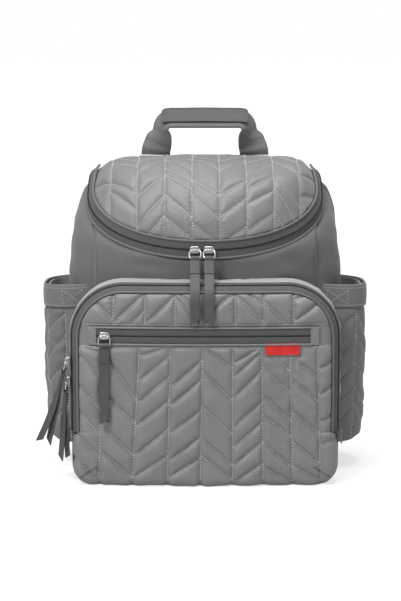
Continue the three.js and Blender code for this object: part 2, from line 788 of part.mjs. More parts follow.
// A slider lies in the XY plane with its nose towards +X and its bridge on top.
function sliderSolid(bridgeAcross) {
  const { length, width, thickness, nose, tail } = SLIDER;
  const outline = new THREE.Shape();
  outline.moveTo(length / 2, -width / 2 + nose);
  outline.lineTo(length / 2, width / 2 - nose);
  outline.lineTo(length / 2 - nose, width / 2);
  outline.lineTo(-length / 2 + tail, width / 2);
  outline.lineTo(-length / 2, width / 2 - tail);
  outline.lineTo(-length / 2, -width / 2 + tail);
  outline.lineTo(-length / 2 + tail, -width / 2);
  outline.lineTo(length / 2 - nose, -width / 2);
  outline.closePath();
  const plate = new THREE.ExtrudeGeometry(outline, { depth: thickness, bevelEnabled: false });
  const arch = new THREE.Shape();
  const outerHalf = BRIDGE.span / 2;
  const innerHalf = outerHalf - BRIDGE.wall;
  const outerHeight = BRIDGE.inside + BRIDGE.wall;
  arch.moveTo(-outerHalf, -BRIDGE.sunk);
  for (let i = 0; i <= BRIDGE.steps; i += 1) {
    const a = Math.PI - (Math.PI * i) / BRIDGE.steps;
    arch.lineTo(outerHalf * Math.cos(a), outerHeight * power(Math.sin(a), BRIDGE.power));
  }
  arch.lineTo(outerHalf, -BRIDGE.sunk);
  arch.lineTo(innerHalf, -BRIDGE.sunk);
  for (let i = 0; i <= BRIDGE.steps; i += 1) {
    const a = (Math.PI * i) / BRIDGE.steps;
    arch.lineTo(innerHalf * Math.cos(a), BRIDGE.inside * power(Math.sin(a), BRIDGE.power));
  }
  arch.lineTo(-innerHalf, -BRIDGE.sunk);
  arch.closePath();
  const bridge = new THREE.ExtrudeGeometry(arch, { depth: BRIDGE.width, bevelEnabled: false });
  bridge.translate(0, 0, -BRIDGE.width / 2).rotateX(Math.PI / 2).translate(0, 0, thickness);
  if (bridgeAcross) {
    bridge.rotateZ(Math.PI / 2);
  }
  return geometryOf(solid(plate).add(solid(bridge)));
}

// The wire ring hangs from the X axis and leans out towards -Y.
function wireRing(lean) {
  const down = vec(0, -Math.sin(lean), -Math.cos(lean));
  const side = vec(1, 0, 0);
  const facing = side.clone().cross(down);
  const exponent = 2 / RING.squareness;
  const place = (a) =>
    down
      .clone()
      .multiplyScalar(RING.halfHeight * (1 - power(Math.cos(a), exponent)))
      .addScaledVector(side, RING.halfWidth * power(Math.sin(a), exponent));
  const rings = [];
  for (let i = 0; i < RING.steps; i += 1) {
    const a = (2 * Math.PI * (i + 0.5)) / RING.steps;
    const here = place(a);
    const along = place(a + RING_TANGENT).sub(place(a - RING_TANGENT)).normalize();
    const out = along.clone().cross(facing);
    const section = [];
    for (let j = 0; j < RING.sides; j += 1) {
      const b = (2 * Math.PI * j) / RING.sides;
      section.push(
        here
          .clone()
          .addScaledVector(out, RING.wire * Math.cos(b))
          .addScaledVector(facing, RING.wire * Math.sin(b)),
      );
    }
    rings.push(section);
  }
  return loft(rings, true);
}

// The strip starts as a fold round the ring's lower wire and follows its list of leans.
function leatherStrip(ringLean, strip, slant) {
  const { width, layer, hole, collarStart, collarHeight, collarThickness, collarWidth } =
    LEATHER_STRIP;
  const heading = (lean) => vec(0, -Math.sin(radians(lean)), -Math.cos(radians(lean)));
  const start = heading(ringLean).multiplyScalar(2 * RING.halfHeight);
  const fold = new THREE.Shape();
  fold.absarc(0, 0, hole + layer, 0, 2 * Math.PI, false);
  const bore = new THREE.Path();
  bore.absarc(0, 0, hole, 0, 2 * Math.PI, true);
  fold.holes.push(bore);
  const loop = new THREE.ExtrudeGeometry(fold, {
    depth: width,
    bevelEnabled: false,
    curveSegments: LEATHER_STRIP.foldSteps,
  });
  loop.translate(0, 0, -width / 2).rotateY(Math.PI / 2).translate(start.x, start.y, start.z);
  const first = strip[0][1];
  const facing = (lean) => vec(0, -Math.cos(radians(lean)), Math.sin(radians(lean)));
  const bar = (centre, lean, wide, thick, skew = 0) => {
    const corner = (x, out) =>
      centre
        .clone()
        .addScaledVector(vec(1, 0, 0), (x * wide) / 2)
        .addScaledVector(facing(lean), (out * thick) / 2)
        .addScaledVector(heading(lean), (x * skew) / 2);
    return [corner(-1, -1), corner(1, -1), corner(1, 1), corner(-1, 1)];
  };
  const at = (distance) => start.clone().addScaledVector(heading(first), distance);
  const rings = [bar(at(hole + LEATHER_STRIP.belowHole), first, width, 2 * layer)];
  const place = start.clone();
  strip.forEach(([length, lean], i) => {
    place.addScaledVector(heading(lean), length);
    const next = strip[Math.min(i + 1, strip.length - 1)][1];
    const isLast = i === strip.length - 1;
    rings.push(bar(place, (lean + next) / 2, width, 2 * layer, isLast ? slant : 0));
  });
  const collar = [collarStart, collarStart + collarHeight].map((distance) =>
    bar(at(distance), first, collarWidth, collarThickness));
  return geometryOf(solid(loop).add(solid(loft(rings))).add(solid(loft(collar))));
}

for (const { name, parent, at, turn, ringLean, strip, slant } of SLIDERS) {
  const group = new THREE.Group();
  group.position.set(...at);
  group.rotation.z = radians(turn);
  const facesLeft = turn === -90;
  (parent === 'flap' ? frontFlap : bag).add(group);
  const slider = addPiece(`${name}_slider`, sliderSolid(!facesLeft), CHROME, group);
  const travel = facesLeft ? vec(0, 0, 1) : vec(1, 0, 0);
  const across = vec(0, -1, 0).cross(travel);
  const basis = new THREE.Matrix4().makeBasis(travel, across, vec(0, -1, 0));
  slider.quaternion.setFromRotationMatrix(basis);
  const pull = new THREE.Group();
  pull.position.set(0, -PIVOT_HEIGHT, 0);
  group.add(pull);
  addPiece(`${name}_ring`, wireRing(radians(ringLean)), CHROME, pull);
  addPiece(`${name}_pull`, leatherStrip(ringLean, strip, slant), LEATHER, pull);
}

export default bag;
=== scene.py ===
"""Quilted backpack-style diaper bag, dressed over its CAD frame. Shapes are worked out in
millimetres, +Z up, front towards -Y, and become metres when a mesh is made."""

import bpy
import numpy as np
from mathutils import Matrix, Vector
from mathutils.kdtree import KDTree


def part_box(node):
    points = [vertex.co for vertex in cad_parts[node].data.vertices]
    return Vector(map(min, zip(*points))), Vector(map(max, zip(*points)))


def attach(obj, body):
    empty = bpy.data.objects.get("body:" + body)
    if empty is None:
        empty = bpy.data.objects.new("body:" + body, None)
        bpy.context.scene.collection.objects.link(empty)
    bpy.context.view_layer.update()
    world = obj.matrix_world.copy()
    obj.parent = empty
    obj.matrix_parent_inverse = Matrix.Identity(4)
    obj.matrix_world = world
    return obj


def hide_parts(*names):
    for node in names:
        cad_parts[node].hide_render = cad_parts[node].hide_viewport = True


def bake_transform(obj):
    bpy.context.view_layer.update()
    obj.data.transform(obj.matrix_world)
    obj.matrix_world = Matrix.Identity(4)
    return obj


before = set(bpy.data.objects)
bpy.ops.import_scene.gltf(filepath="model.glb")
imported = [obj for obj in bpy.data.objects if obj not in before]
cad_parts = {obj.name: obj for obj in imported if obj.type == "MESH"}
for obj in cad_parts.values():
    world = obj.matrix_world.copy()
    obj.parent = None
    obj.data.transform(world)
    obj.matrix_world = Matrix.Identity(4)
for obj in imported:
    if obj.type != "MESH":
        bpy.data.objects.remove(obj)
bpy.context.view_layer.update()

MM = 0.001
GAP = 0.3

# ---------------------------------------------------------------- the bag's shape, as in the CAD

# Rings round the bag: half width, front y, rear y, z at the front, z at the rear
BODY_RINGS = np.array([
    (131, -68, 50, 0, 0),
    (142, -76, 57, 10, 10),
    (151, -79, 58, 110, 110),
    (156, -80, 58, 215, 230),
    (152, -81, 58, 238, 298),
    (144, -82, 58, 246, 333),
    (133, -80, 56, 252, 341),
    (133, -80, 56, 259.7, 348.7),
], float)
LID_RINGS = np.array([
    (133, -80, 56, 260, 349),
    (132, -79.5, 55, 269, 351.5),
    (130, -77, 54, 288, 354),
    (125, -66, 52, 312, 356),
    (113, -48, 47, 331, 356.5),
    (80, -18, 38, 345, 355.5),
], float)
RING_CENTRE_Y = 5
FRONT_ROUNDNESS = 2.15
REAR_ROUNDNESS = 5
LID_CROWN = 2.5  # how far the middle of the lid rises over its last ring
SEAM_X = 127
BACK_SEAM_Y = 30
ZIP_REAR = (129, 39.4)  # where the lid's zip starts and ends
TAPE = 7

POCKET_SAG = 9
POCKET_HALF = 147
POCKET_TOP = 223.5
POCKET_CORNER = 58
POCKET_FOOT = 22
POCKET_ROLL = 51  # how far in from its outline the pocket's face goes on rising
POCKET_DEPTH = 12
RIM_Y = -108
HINGE_Z = 58
FLAP_BORDER = 6
SLIP_LEFT, SLIP_RIGHT, SLIP_LOW, SLIP_HIGH = -120, 116, 161, 178


def pchip(x, values, at):
    """Smooth curves through values at x that never overshoot, one for each column."""
    x, values, at = np.asarray(x, float), np.asarray(values, float), np.asarray(at, float)
    step = np.diff(x)[:, None]
    slope = np.diff(values, axis=0) / step
    inner = np.where(
        slope[:-1] * slope[1:] > 0,
        2 * slope[:-1] * slope[1:] / (slope[:-1] + slope[1:] + 1e-12),
        0,
    )
    tangent = np.vstack([slope[:1], inner, slope[-1:]])
    i = np.clip(np.searchsorted(x, at, side="right") - 1, 0, len(x) - 2)
    h = step[i]
    t = ((at - x[i]) / step[i, 0])[:, None]
    return (
        values[i] * (1 + 2 * t) * (1 - t) ** 2
        + tangent[i] * h * t * (1 - t) ** 2
        + values[i + 1] * t * t * (3 - 2 * t)
        + tangent[i + 1] * h * t * t * (t - 1)
    )


def ring_rows(rings, count, start=0.0, end=1.0):
    """Rings evenly spaced up the front of the bag, between two shares of its height."""
    run = np.r_[0, np.cumsum(np.hypot(np.diff(rings[:, 1]), np.diff(rings[:, 3])))]
    return pchip(run, rings, np.linspace(start, end, count) * run[-1])


def outline(ring, heading, inset=0.0):
    """Points on a ring's superellipse in the directions given, seen from above."""
    half, front, rear, z_front, z_rear = ring
    back = np.sin(heading) > 0
    power = np.where(back, REAR_ROUNDNESS, FRONT_ROUNDNESS)
    depth = np.where(back, rear - RING_CENTRE_Y, RING_CENTRE_Y - front) - inset
    reach = (
        np.abs(np.cos(heading) / (half - inset)) ** power
        + np.abs(np.sin(heading) / depth) ** power
    ) ** (-1 / power)
    x = reach * np.cos(heading)
    y = RING_CENTRE_Y + reach * np.sin(heading)
    z = z_front + (z_rear - z_front) / max(rear - front, 1e-6) * (y - front)
    return np.stack([x, y, z], axis=-1)


def even(points, count):
    """The same line with its points evenly spaced along it."""
    run = np.r_[0, np.cumsum(np.linalg.norm(np.diff(points, axis=0), axis=1))]
    at = np.linspace(0, run[-1], count)
    return np.stack([np.interp(at, run, points[:, k]) for k in range(points.shape[1])], axis=-1)


def front_seam(ring, x):
    """Heading of the point on a ring's front half at that x."""
    half, front = ring[0], ring[1]
    share = max(1 - (abs(x) / half) ** FRONT_ROUNDNESS, 0) ** (1 / FRONT_ROUNDNESS)
    return np.arctan2(-(RING_CENTRE_Y - front) * share, x) % (2 * np.pi)


def rear_seam(ring, y, side):
    """Heading of the point on a ring's rear half at that y, on one side."""
    half, rear = ring[0], ring[2]
    share = max(1 - ((y - RING_CENTRE_Y) / (rear - RING_CENTRE_Y)) ** REAR_ROUNDNESS, 0)
    return np.arctan2(y - RING_CENTRE_Y, side * half * share ** (1 / REAR_ROUNDNESS))


def ring_grid(rows, start, end, count, inset=0.0):
    """A grid of points: along each ring from heading start(ring) round to end(ring)."""
    grid = []
    for ring in rows:
        headings = np.linspace(start(ring), end(ring), 6 * count)
        grid.append(even(outline(ring, headings, inset), count))
    return np.array(grid)


# ---------------------------------------------------------------- surfaces and meshes


def unit(v):
    return v / np.maximum(np.linalg.norm(v, axis=-1, keepdims=True), 1e-9)


def smoothstep(low, high, value):
    t = np.clip((value - low) / (high - low), 0, 1)
    return t * t * (3 - 2 * t)


def normals(grid, closed=False):
    """Outward normals of a grid whose rows go up and whose columns go round to the right."""
    up = np.gradient(grid, axis=0)
    if closed:
        wrapped = np.concatenate([grid[:, -1:], grid, grid[:, :1]], axis=1)
        along = wrapped[:, 2:] - wrapped[:, :-2]
    else:
        along = np.gradient(grid, axis=1)
    return unit(np.cross(along, up))


def drift(points, wavelength, seed, count=16):
    """Smooth aimless variation over points, about -1 to 1, of roughly that wavelength."""
    rng = np.random.default_rng(seed)
    waves = unit(rng.normal(size=(count, 3)))
    waves *= 2 * np.pi / (wavelength * rng.uniform(0.7, 1.6, (count, 1)))
    phase = rng.uniform(0, 2 * np.pi, count)
    return np.cos(points @ waves.T + phase).sum(axis=-1) * np.sqrt(2 / count) * 0.7


def creases(points, seed, count, reach, width):
    """Short soft folds scattered over points: each is a ridge beside a valley."""
    rng = np.random.default_rng(seed)
    flat = points.reshape(-1, 3)
    total = np.zeros(len(flat))
    for _ in range(count):
        middle = flat[rng.integers(len(flat))]
        along = unit(rng.normal(size=3) * (1, 0.3, 1))
        half = reach * rng.uniform(0.4, 1)
        broad = width * rng.uniform(0.7, 1.5)
        gap = flat - middle
        run = gap @ along
        off = gap - run[:, None] * along
        side = off @ unit(np.cross(along, (0, 1, 0.2)))
        fade = np.exp(-((run / half) ** 2) - ((np.linalg.norm(off, axis=1) / (3 * broad)) ** 2))
        total += fade * np.cos(side / broad * 2.2 + 0.6) * rng.uniform(0.4, 1)
    return total.reshape(points.shape[:-1])


def make_mesh(name, points, faces, materials, uv=None, indices=None, sharp=40):
    mesh = bpy.data.meshes.new(name)
    mesh.from_pydata((points * MM).tolist(), [], faces)
    if uv is not None:
        layer = mesh.uv_layers.new(name="cloth")
        loops = np.zeros(len(mesh.loops), np.int32)
        mesh.loops.foreach_get("vertex_index", loops)
        layer.data.foreach_set("uv", (uv[loops] * MM).astype(np.float32).ravel())
    for material in materials:
        mesh.materials.append(material)
    if indices is not None:
        mesh.polygons.foreach_set("material_index", np.asarray(indices, np.int32))
    mesh.shade_smooth()
    mesh.set_sharp_from_angle(angle=np.radians(sharp))
    piece = bpy.data.objects.new(name, mesh)
    bpy.context.scene.collection.objects.link(piece)
    return piece


def grid_uv(grid):
    """Flat cloth coordinates for a grid: distance along its middle row and middle column."""
    across = grid[grid.shape[0] // 2]
    upward = grid[:, grid.shape[1] // 2]
    u = np.r_[0, np.cumsum(np.linalg.norm(np.diff(across, axis=0), axis=1))]
    v = np.r_[0, np.cumsum(np.linalg.norm(np.diff(upward, axis=0), axis=1))]
    return np.stack(np.meshgrid(u, v), axis=-1)


def shell(name, grid, thickness, face, back=None, closed=False, cap=False, keep=None, uv=None):
    """Cloth of real thickness whose outer face is the grid. cap closes the last row."""
    rows, columns = grid.shape[:2]
    outward = normals(grid, closed)
    uv = grid_uv(grid) if uv is None else uv
    outer = grid.reshape(-1, 3)
    inner = (grid - outward * thickness).reshape(-1, 3)
    flat_uv = uv.reshape(-1, 2)
    if cap:
        outer = np.vstack([outer, grid[-1].mean(axis=0)])
        inner = np.vstack([inner, (grid[-1] - outward[-1] * thickness).mean(axis=0)])
        flat_uv = np.vstack([flat_uv, uv[-1].mean(axis=0)])
    number = len(outer)
    index = np.arange(rows * columns).reshape(rows, columns)
    right = np.roll(index, -1, axis=1)
    if not closed:
        index, right = index[:, :-1], right[:, :-1]
    quads = np.stack([index[:-1], right[:-1], right[1:], index[1:]], axis=-1)
    quads = quads.reshape(-1, 4) if keep is None else quads[keep]
    start = quads.ravel()
    end = np.roll(quads, -1, axis=1).ravel()
    rim = ~np.isin(start * number + end, end * number + start)
    start, end = start[rim], end[rim]
    if cap:
        last = (start >= (rows - 1) * columns) & (end >= (rows - 1) * columns)
        fan = [(e, s, number - 1) for s, e in zip(end[last], start[last])]
        fan = [(b, a, c) for a, b, c in fan]
        start, end = start[~last], end[~last]
    else:
        fan = []
    edge = np.stack([end, start, start + number, end + number], axis=-1)
    faces = quads.tolist() + fan
    behind = (quads[:, ::-1] + number).tolist() + [tuple(i + number for i in f[::-1]) for f in fan]
    every = faces + behind + edge.tolist()
    which = [0] * len(faces) + [1 if back else 0] * len(behind) + [0] * len(edge)
    looks = [face, back] if back else [face]
    return make_mesh(
        name, np.vstack([outer, inner]), every, looks, np.vstack([flat_uv, flat_uv]), which
    )


def loft(name, sections, look, closed=False, sharp=40):
    """A solid through sections of equally many points, capped unless it closes on itself."""
    sections = np.asarray(sections, float)
    count, around = sections.shape[:2]
    index = np.arange(count * around).reshape(count, around)
    following = np.roll(index, -1, axis=0) if closed else index[1:]
    here = index if closed else index[:-1]
    faces = np.stack(
        [here, np.roll(here, -1, axis=1), np.roll(following, -1, axis=1), following], axis=-1
    ).reshape(-1, 4).tolist()
    if not closed:
        faces += [index[0, ::-1].tolist(), index[-1].tolist()]
    along = np.r_[0, np.cumsum(np.linalg.norm(np.diff(sections.mean(axis=1), axis=0), axis=1))]
    ring = np.vstack([sections[0], sections[0][:1]])
    girth = np.r_[0, np.cumsum(np.linalg.norm(np.diff(ring, axis=0), axis=1))][:-1]
    uv = np.stack(np.meshgrid(girth, along), axis=-1).reshape(-1, 2)
    points = sections.reshape(-1, 3)
    middle = sections[0].mean(axis=0)
    ahead = sections[1].mean(axis=0) - middle
    spin = np.cross(sections[0][0] - middle, sections[0][1] - middle)
    if spin @ ahead < 0:
        faces = [f[::-1] for f in faces]
    return make_mesh(name, points, faces, [look], uv, sharp=sharp)


def tube(name, path, radius, look, closed=False, sides=8):
    """A round cord or wire along a path; radius is one number or one for each point."""
    path = np.asarray(path, float)
    if closed:
        ahead = np.roll(path, -1, axis=0) - np.roll(path, 1, axis=0)
    else:
        ahead = np.gradient(path, axis=0)
    ahead = unit(ahead)
    side = np.cross(ahead[0], (0.13, 0.21, 0.97))
    radius = np.broadcast_to(radius, len(path))
    turn = np.linspace(0, 2 * np.pi, sides, endpoint=False)
    sections = []
    for point, forward, thick in zip(path, ahead, radius):
        side = unit(side - forward * (side @ forward))
        other = np.cross(forward, side)
        circle = np.outer(np.cos(turn), side) + np.outer(np.sin(turn), other)
        sections.append(point + circle * thick)
    return loft(name, sections, look, closed, sharp=80)


def rounded(width, thickness, count=20, power=5.0):
    """A flat section with rounded corners: across and out, centred. A high power is squarer."""
    radius = thickness * (0.49 if power < 4 else 0.36)
    turn = np.linspace(0, np.pi / 2, 4)
    corner = radius * np.stack([np.cos(turn), np.sin(turn)], axis=-1)
    corner = corner + (width / 2 - radius, thickness / 2 - radius)
    extra = (count - 16) // 2
    flat = np.linspace(width / 2 - radius, radius - width / 2, extra + 2)[1:-1]
    top = np.stack([flat, np.full(extra, thickness / 2)], axis=-1)
    upper = np.vstack([corner, top, corner[::-1] * (-1, 1)])
    return np.vstack([upper, -upper])


def strap(name, centre, across, width, thickness, look, power=5.0, count=20, lift=0.0, sharp=60):
    """A flat strap along a path. across points over its width; width may vary along it."""
    centre = np.asarray(centre, float)
    across = unit(np.broadcast_to(np.asarray(across, float), centre.shape))
    ahead = unit(np.gradient(centre, axis=0))
    up = unit(np.cross(across, ahead))
    width = np.broadcast_to(width, len(centre))
    thickness = np.broadcast_to(thickness, len(centre))
    sections = []
    for i, point in enumerate(centre):
        section = rounded(width[i], thickness[i], count, power)
        sections.append(
            point + section[:, :1] * across[i] + (section[:, 1:] + lift) * up[i]
        )
    return loft(name, sections, look, sharp=sharp)


def join(name, pieces):
    """Several meshes as one piece."""
    with bpy.context.temp_override(
        active_object=pieces[0], selected_editable_objects=pieces, selected_objects=pieces
    ):
        bpy.ops.object.join()
    pieces[0].name = name
    pieces[0].data.name = name
    return pieces[0]


class Surface:
    """A displaced grid that can be asked where a point of its flat pattern has gone."""

    def __init__(self, pattern, grid, outward):
        self.points = grid.reshape(-1, 3)
        self.outward = outward.reshape(-1, 3)
        flat = pattern.reshape(-1, 2)
        self.tree = KDTree(len(flat))
        for i, (a, b) in enumerate(flat):
            self.tree.insert((a, b, 0), i)
        self.tree.balance()

    def at(self, spots):
        places, directions = [], []
        for a, b in spots:
            near = self.tree.find_n((a, b, 0), 4)
            weight = np.array([1 / (d * d + 0.02) for _, _, d in near])
            weight /= weight.sum()
            index = [i for _, i, _ in near]
            places.append(weight @ self.points[index])
            directions.append(weight @ self.outward[index])
        return np.array(places), unit(np.array(directions))


def stitched(name, runs, look, length=1.9, gap=1.4, radius=0.47, proud=0.2):
    """Thread along runs of (points, outward directions): one small capsule for each stitch."""
    sides = 5
    turn = np.linspace(0, 2 * np.pi, sides, endpoint=False)
    shares = np.array([-0.5, -0.3, 0.3, 0.5])
    girth = np.array([0.35, 1, 1, 0.35])
    points, faces = [], []
    for line, outward in runs:
        run = np.r_[0, np.cumsum(np.linalg.norm(np.diff(line, axis=0), axis=1))]
        count = int(run[-1] // (length + gap))
        for k in range(count):
            middle = (k + 0.5) * run[-1] / count
            ends = [
                np.array([np.interp(middle + s * length, run, line[:, c]) for c in range(3)])
                for s in (-0.5, 0.5)
            ]
            out = unit(np.array([np.interp(middle, run, outward[:, c]) for c in range(3)]))
            forward = unit(ends[1] - ends[0])
            side = unit(np.cross(forward, out))
            base = len(points)
            centre = (ends[0] + ends[1]) / 2 + out * proud
            for share, fat in zip(shares, girth):
                hub = centre + forward * share * length - out * (0.25 if abs(share) > 0.4 else 0)
                for a in turn:
                    points.append(hub + (side * np.cos(a) + out * np.sin(a)) * radius * fat)
            for r in range(3):
                for j in range(sides):
                    a, b = base + r * sides + j, base + r * sides + (j + 1) % sides
                    faces.append((a, b, b + sides, a + sides))
            faces.append(tuple(base + j for j in range(sides))[::-1])
            faces.append(tuple(base + 3 * sides + j for j in range(sides)))
    return make_mesh(name, np.array(points), faces, [look], np.array(points)[:, [0, 2]], sharp=80)


def densify(spots, step=1.5):
    spots = np.asarray(spots, float)
    length = np.linalg.norm(np.diff(spots, axis=0), axis=1).sum()
    return even(spots, max(int(length / step), 3))


# ---------------------------------------------------------------- materials


def node(tree, kind, inputs=(), **settings):
    made = tree.nodes.new(kind)
    for key, value in settings.items():
        setattr(made, key, value)
    for key, value in dict(inputs).items():
        if isinstance(value, bpy.types.NodeSocket):
            tree.links.new(value, made.inputs[key])
        else:
            made.inputs[key].default_value = value
    return made


def sum_of(tree, operation, first, second=0.0):
    return node(tree, "ShaderNodeMath", {0: first, 1: second}, operation=operation).outputs[0]


def tone(grey, warm=0.0):
    """A colour from its light-linear grey, slightly warmed or cooled."""
    return (grey * (1 + warm), grey, grey * (1 - warm), 1)


def new_material(name):
    material = bpy.data.materials.new(name)
    material.use_nodes = True
    tree = material.node_tree
    tree.nodes.clear()
    output = node(tree, "ShaderNodeOutputMaterial")
    return material, tree, output


def noise(tree, vector, scale, detail=3.0, roughness=0.55):
    made = node(
        tree,
        "ShaderNodeTexNoise",
        {"Vector": vector, "Scale": scale, "Detail": detail, "Roughness": roughness},
    )
    return made.outputs["Fac"]


def blend_colours(tree, share, first, second):
    made = node(tree, "ShaderNodeMix", {"Factor": share}, data_type="RGBA")
    for key, value in ((6, first), (7, second)):
        if isinstance(value, bpy.types.NodeSocket):
            tree.links.new(value, made.inputs[key])
        else:
            made.inputs[key].default_value = value
    return made.outputs[2]


def ranged(tree, value, low, high, start=0.0, stop=1.0):
    made = node(
        tree,
        "ShaderNodeMapRange",
        {"Value": value, "From Min": start, "From Max": stop, "To Min": low, "To Max": high},
    )
    return made.outputs[0]


def cloth(name, grey, pitch, weave="plain", rough=0.6, sheen=0.25, bump=0.4, warm=0.0, gloss=0.4):
    """Woven cloth: threads of that pitch in mm, uneven dye, worn ridges, varied sheen."""
    material, tree, output = new_material(name)
    place = node(tree, "ShaderNodeTexCoord")
    split = node(tree, "ShaderNodeSeparateXYZ", {0: place.outputs["UV"]})
    turns = 2 * np.pi / (pitch * MM)
    u = sum_of(tree, "MULTIPLY", split.outputs["X"], turns)
    v = sum_of(tree, "MULTIPLY", split.outputs["Y"], turns)
    if weave == "plain":
        threads = sum_of(
            tree, "MULTIPLY", sum_of(tree, "SINE", u), sum_of(tree, "SINE", v)
        )
    elif weave == "twill":
        diagonal = sum_of(tree, "SINE", sum_of(tree, "ADD", u, v))
        cross = sum_of(tree, "SINE", sum_of(tree, "MULTIPLY", v, 2.0))
        threads = sum_of(tree, "ADD", diagonal, sum_of(tree, "MULTIPLY", cross, 0.25))
    else:
        rib = sum_of(tree, "ABSOLUTE", sum_of(tree, "SINE", v))
        fine = sum_of(tree, "SINE", sum_of(tree, "MULTIPLY", u, 2.0))
        threads = sum_of(tree, "ADD", rib, sum_of(tree, "MULTIPLY", fine, 0.2))
    where = place.outputs["Object"]
    cloudy = noise(tree, where, 14.0, 4.0)
    fine = noise(tree, where, 420.0, 2.0)
    dyed = blend_colours(tree, ranged(tree, cloudy, 0, 1, 0.3, 0.7), tone(grey * 0.93, warm),
                         tone(grey * 1.07, warm))
    flecked = blend_colours(tree, ranged(tree, fine, 0, 0.35, 0.35, 0.75), dyed, tone(grey * 1.3, warm))
    shape = node(tree, "ShaderNodeNewGeometry")
    worn = ranged(tree, shape.outputs["Pointiness"], 0, 0.3, 0.5, 0.62)
    colour = blend_colours(tree, worn, flecked, tone(min(grey * 1.45, 0.9), warm))
    dark = ranged(tree, threads, 0.22, 0.0, -1, 0.4)
    colour = blend_colours(tree, dark, colour, tone(grey * 0.55, warm))
    height = sum_of(tree, "ADD", threads, sum_of(tree, "MULTIPLY", fine, 1.2))
    raised = node(
        tree,
        "ShaderNodeBump",
        {"Height": height, "Strength": bump, "Distance": pitch * MM * 0.18},
    )
    shader = node(
        tree,
        "ShaderNodeBsdfPrincipled",
        {
            "Base Color": colour,
            "Roughness": ranged(tree, cloudy, rough - 0.06, rough + 0.06, 0.3, 0.7),
            "Normal": raised.outputs[0],
            "Sheen Weight": sheen,
            "Sheen Roughness": 0.45,
            "Specular IOR Level": gloss,
        },
    )
    tree.links.new(shader.outputs[0], output.inputs[0])
    return material


def leather(name, grey, rough=0.48):
    """Smooth coated leather: fine grain, pressed edges that have worn paler."""
    material, tree, output = new_material(name)
    where = node(tree, "ShaderNodeTexCoord").outputs["Object"]
    grain = node(
        tree, "ShaderNodeTexVoronoi", {"Vector": where, "Scale": 900.0}, feature="DISTANCE_TO_EDGE"
    ).outputs["Distance"]
    cloudy = noise(tree, where, 60.0, 4.0)
    shape = node(tree, "ShaderNodeNewGeometry")
    worn = ranged(tree, shape.outputs["Pointiness"], 0, 0.5, 0.52, 0.64)
    base = blend_colours(tree, ranged(tree, cloudy, 0, 1, 0.3, 0.7), tone(grey * 0.9), tone(grey * 1.1))
    colour = blend_colours(tree, worn, base, tone(grey * 1.7))
    raised = node(
        tree,
        "ShaderNodeBump",
        {"Height": sum_of(tree, "ADD", ranged(tree, grain, 0, 1, 0, 0.3), cloudy),
         "Strength": 0.25, "Distance": 0.0003},
    )
    shader = node(
        tree,
        "ShaderNodeBsdfPrincipled",
        {
            "Base Color": colour,
            "Roughness": ranged(tree, cloudy, rough - 0.08, rough + 0.1, 0.3, 0.7),
            "Normal": raised.outputs[0],
            "Specular IOR Level": 0.45,
        },
    )
    tree.links.new(shader.outputs[0], output.inputs[0])
    return material


def metal(name, grey, rough=0.16):
    material, tree, output = new_material(name)
    where = node(tree, "ShaderNodeTexCoord").outputs["Object"]
    smudge = noise(tree, where, 260.0, 4.0)
    scratch = noise(tree, where, 2400.0, 2.0)
    shape = node(tree, "ShaderNodeNewGeometry")
    worn = ranged(tree, shape.outputs["Pointiness"], 0, 0.6, 0.5, 0.6)
    colour = blend_colours(tree, worn, tone(grey, -0.01), tone(min(grey * 1.15, 0.95)))
    raised = node(
        tree, "ShaderNodeBump", {"Height": scratch, "Strength": 0.08, "Distance": 0.0002}
    )
    shader = node(
        tree,
        "ShaderNodeBsdfPrincipled",
        {
            "Base Color": colour,
            "Metallic": 1.0,
            "Roughness": ranged(tree, smudge, rough - 0.05, rough + 0.12, 0.3, 0.7),
            "Normal": raised.outputs[0],
        },
    )
    tree.links.new(shader.outputs[0], output.inputs[0])
    return material


def hard_plastic(name, grey, rough=0.45):
    material, tree, output = new_material(name)
    where = node(tree, "ShaderNodeTexCoord").outputs["Object"]
    grain = noise(tree, where, 1500.0, 3.0)
    cloudy = noise(tree, where, 40.0, 3.0)
    shape = node(tree, "ShaderNodeNewGeometry")
    worn = ranged(tree, shape.outputs["Pointiness"], 0, 0.5, 0.52, 0.6)
    colour = blend_colours(tree, worn, tone(grey), tone(grey * 2.2))
    raised = node(tree, "ShaderNodeBump", {"Height": grain, "Strength": 0.2, "Distance": 0.0002})
    shader = node(
        tree,
        "ShaderNodeBsdfPrincipled",
        {
            "Base Color": colour,
            "Roughness": ranged(tree, cloudy, rough - 0.08, rough + 0.08, 0.3, 0.7),
            "Normal": raised.outputs[0],
        },
    )
    tree.links.new(shader.outputs[0], output.inputs[0])
    return material


QUILT = cloth("quilt_cloth", 0.235, 0.42, rough=0.46, sheen=0.25, bump=0.25, gloss=0.6)
QUILT_DARK = cloth("pocket_cloth", 0.19, 0.42, rough=0.52, sheen=0.25, bump=0.25, gloss=0.45)
TWILL = cloth("twill_cloth", 0.155, 0.6, "twill", rough=0.6, sheen=0.35, bump=0.3, warm=0.015)
TAPE_CLOTH = cloth("zip_tape_cloth", 0.105, 0.8, "rib", rough=0.7, sheen=0.2, bump=0.5)
CORD_CLOTH = cloth("piping_cloth", 0.16, 0.45, rough=0.55, sheen=0.25, bump=0.3)
# Near-black cloth for the zip chains: the colour is partly the nylon coil's own and partly painted
# shade of the gap between the two tapes.
CHAIN_AND_GAP_SHADE = cloth("zip_chain_and_painted_gap_shade", 0.02, 1.0, "rib", rough=0.5, sheen=0.0, bump=0.8)
LINING = cloth("lining_cloth", 0.42, 0.5, rough=0.7, sheen=0.2, bump=0.3)
WEBBING = cloth("webbing_weave", 0.075, 1.6, "rib", rough=0.7, sheen=0.2, bump=0.9)
THREAD = cloth("thread", 0.66, 0.4, rough=0.6, sheen=0.2, bump=0.3)
DARK_THREAD = cloth("dark_thread", 0.12, 0.4, rough=0.6, sheen=0.2, bump=0.3)
LEATHER = leather("pull_leather", 0.09)
GRIP_LEATHER = leather("grip_hide", 0.095, 0.55)
CHROME = metal("chrome_plate", 0.66, 0.26)
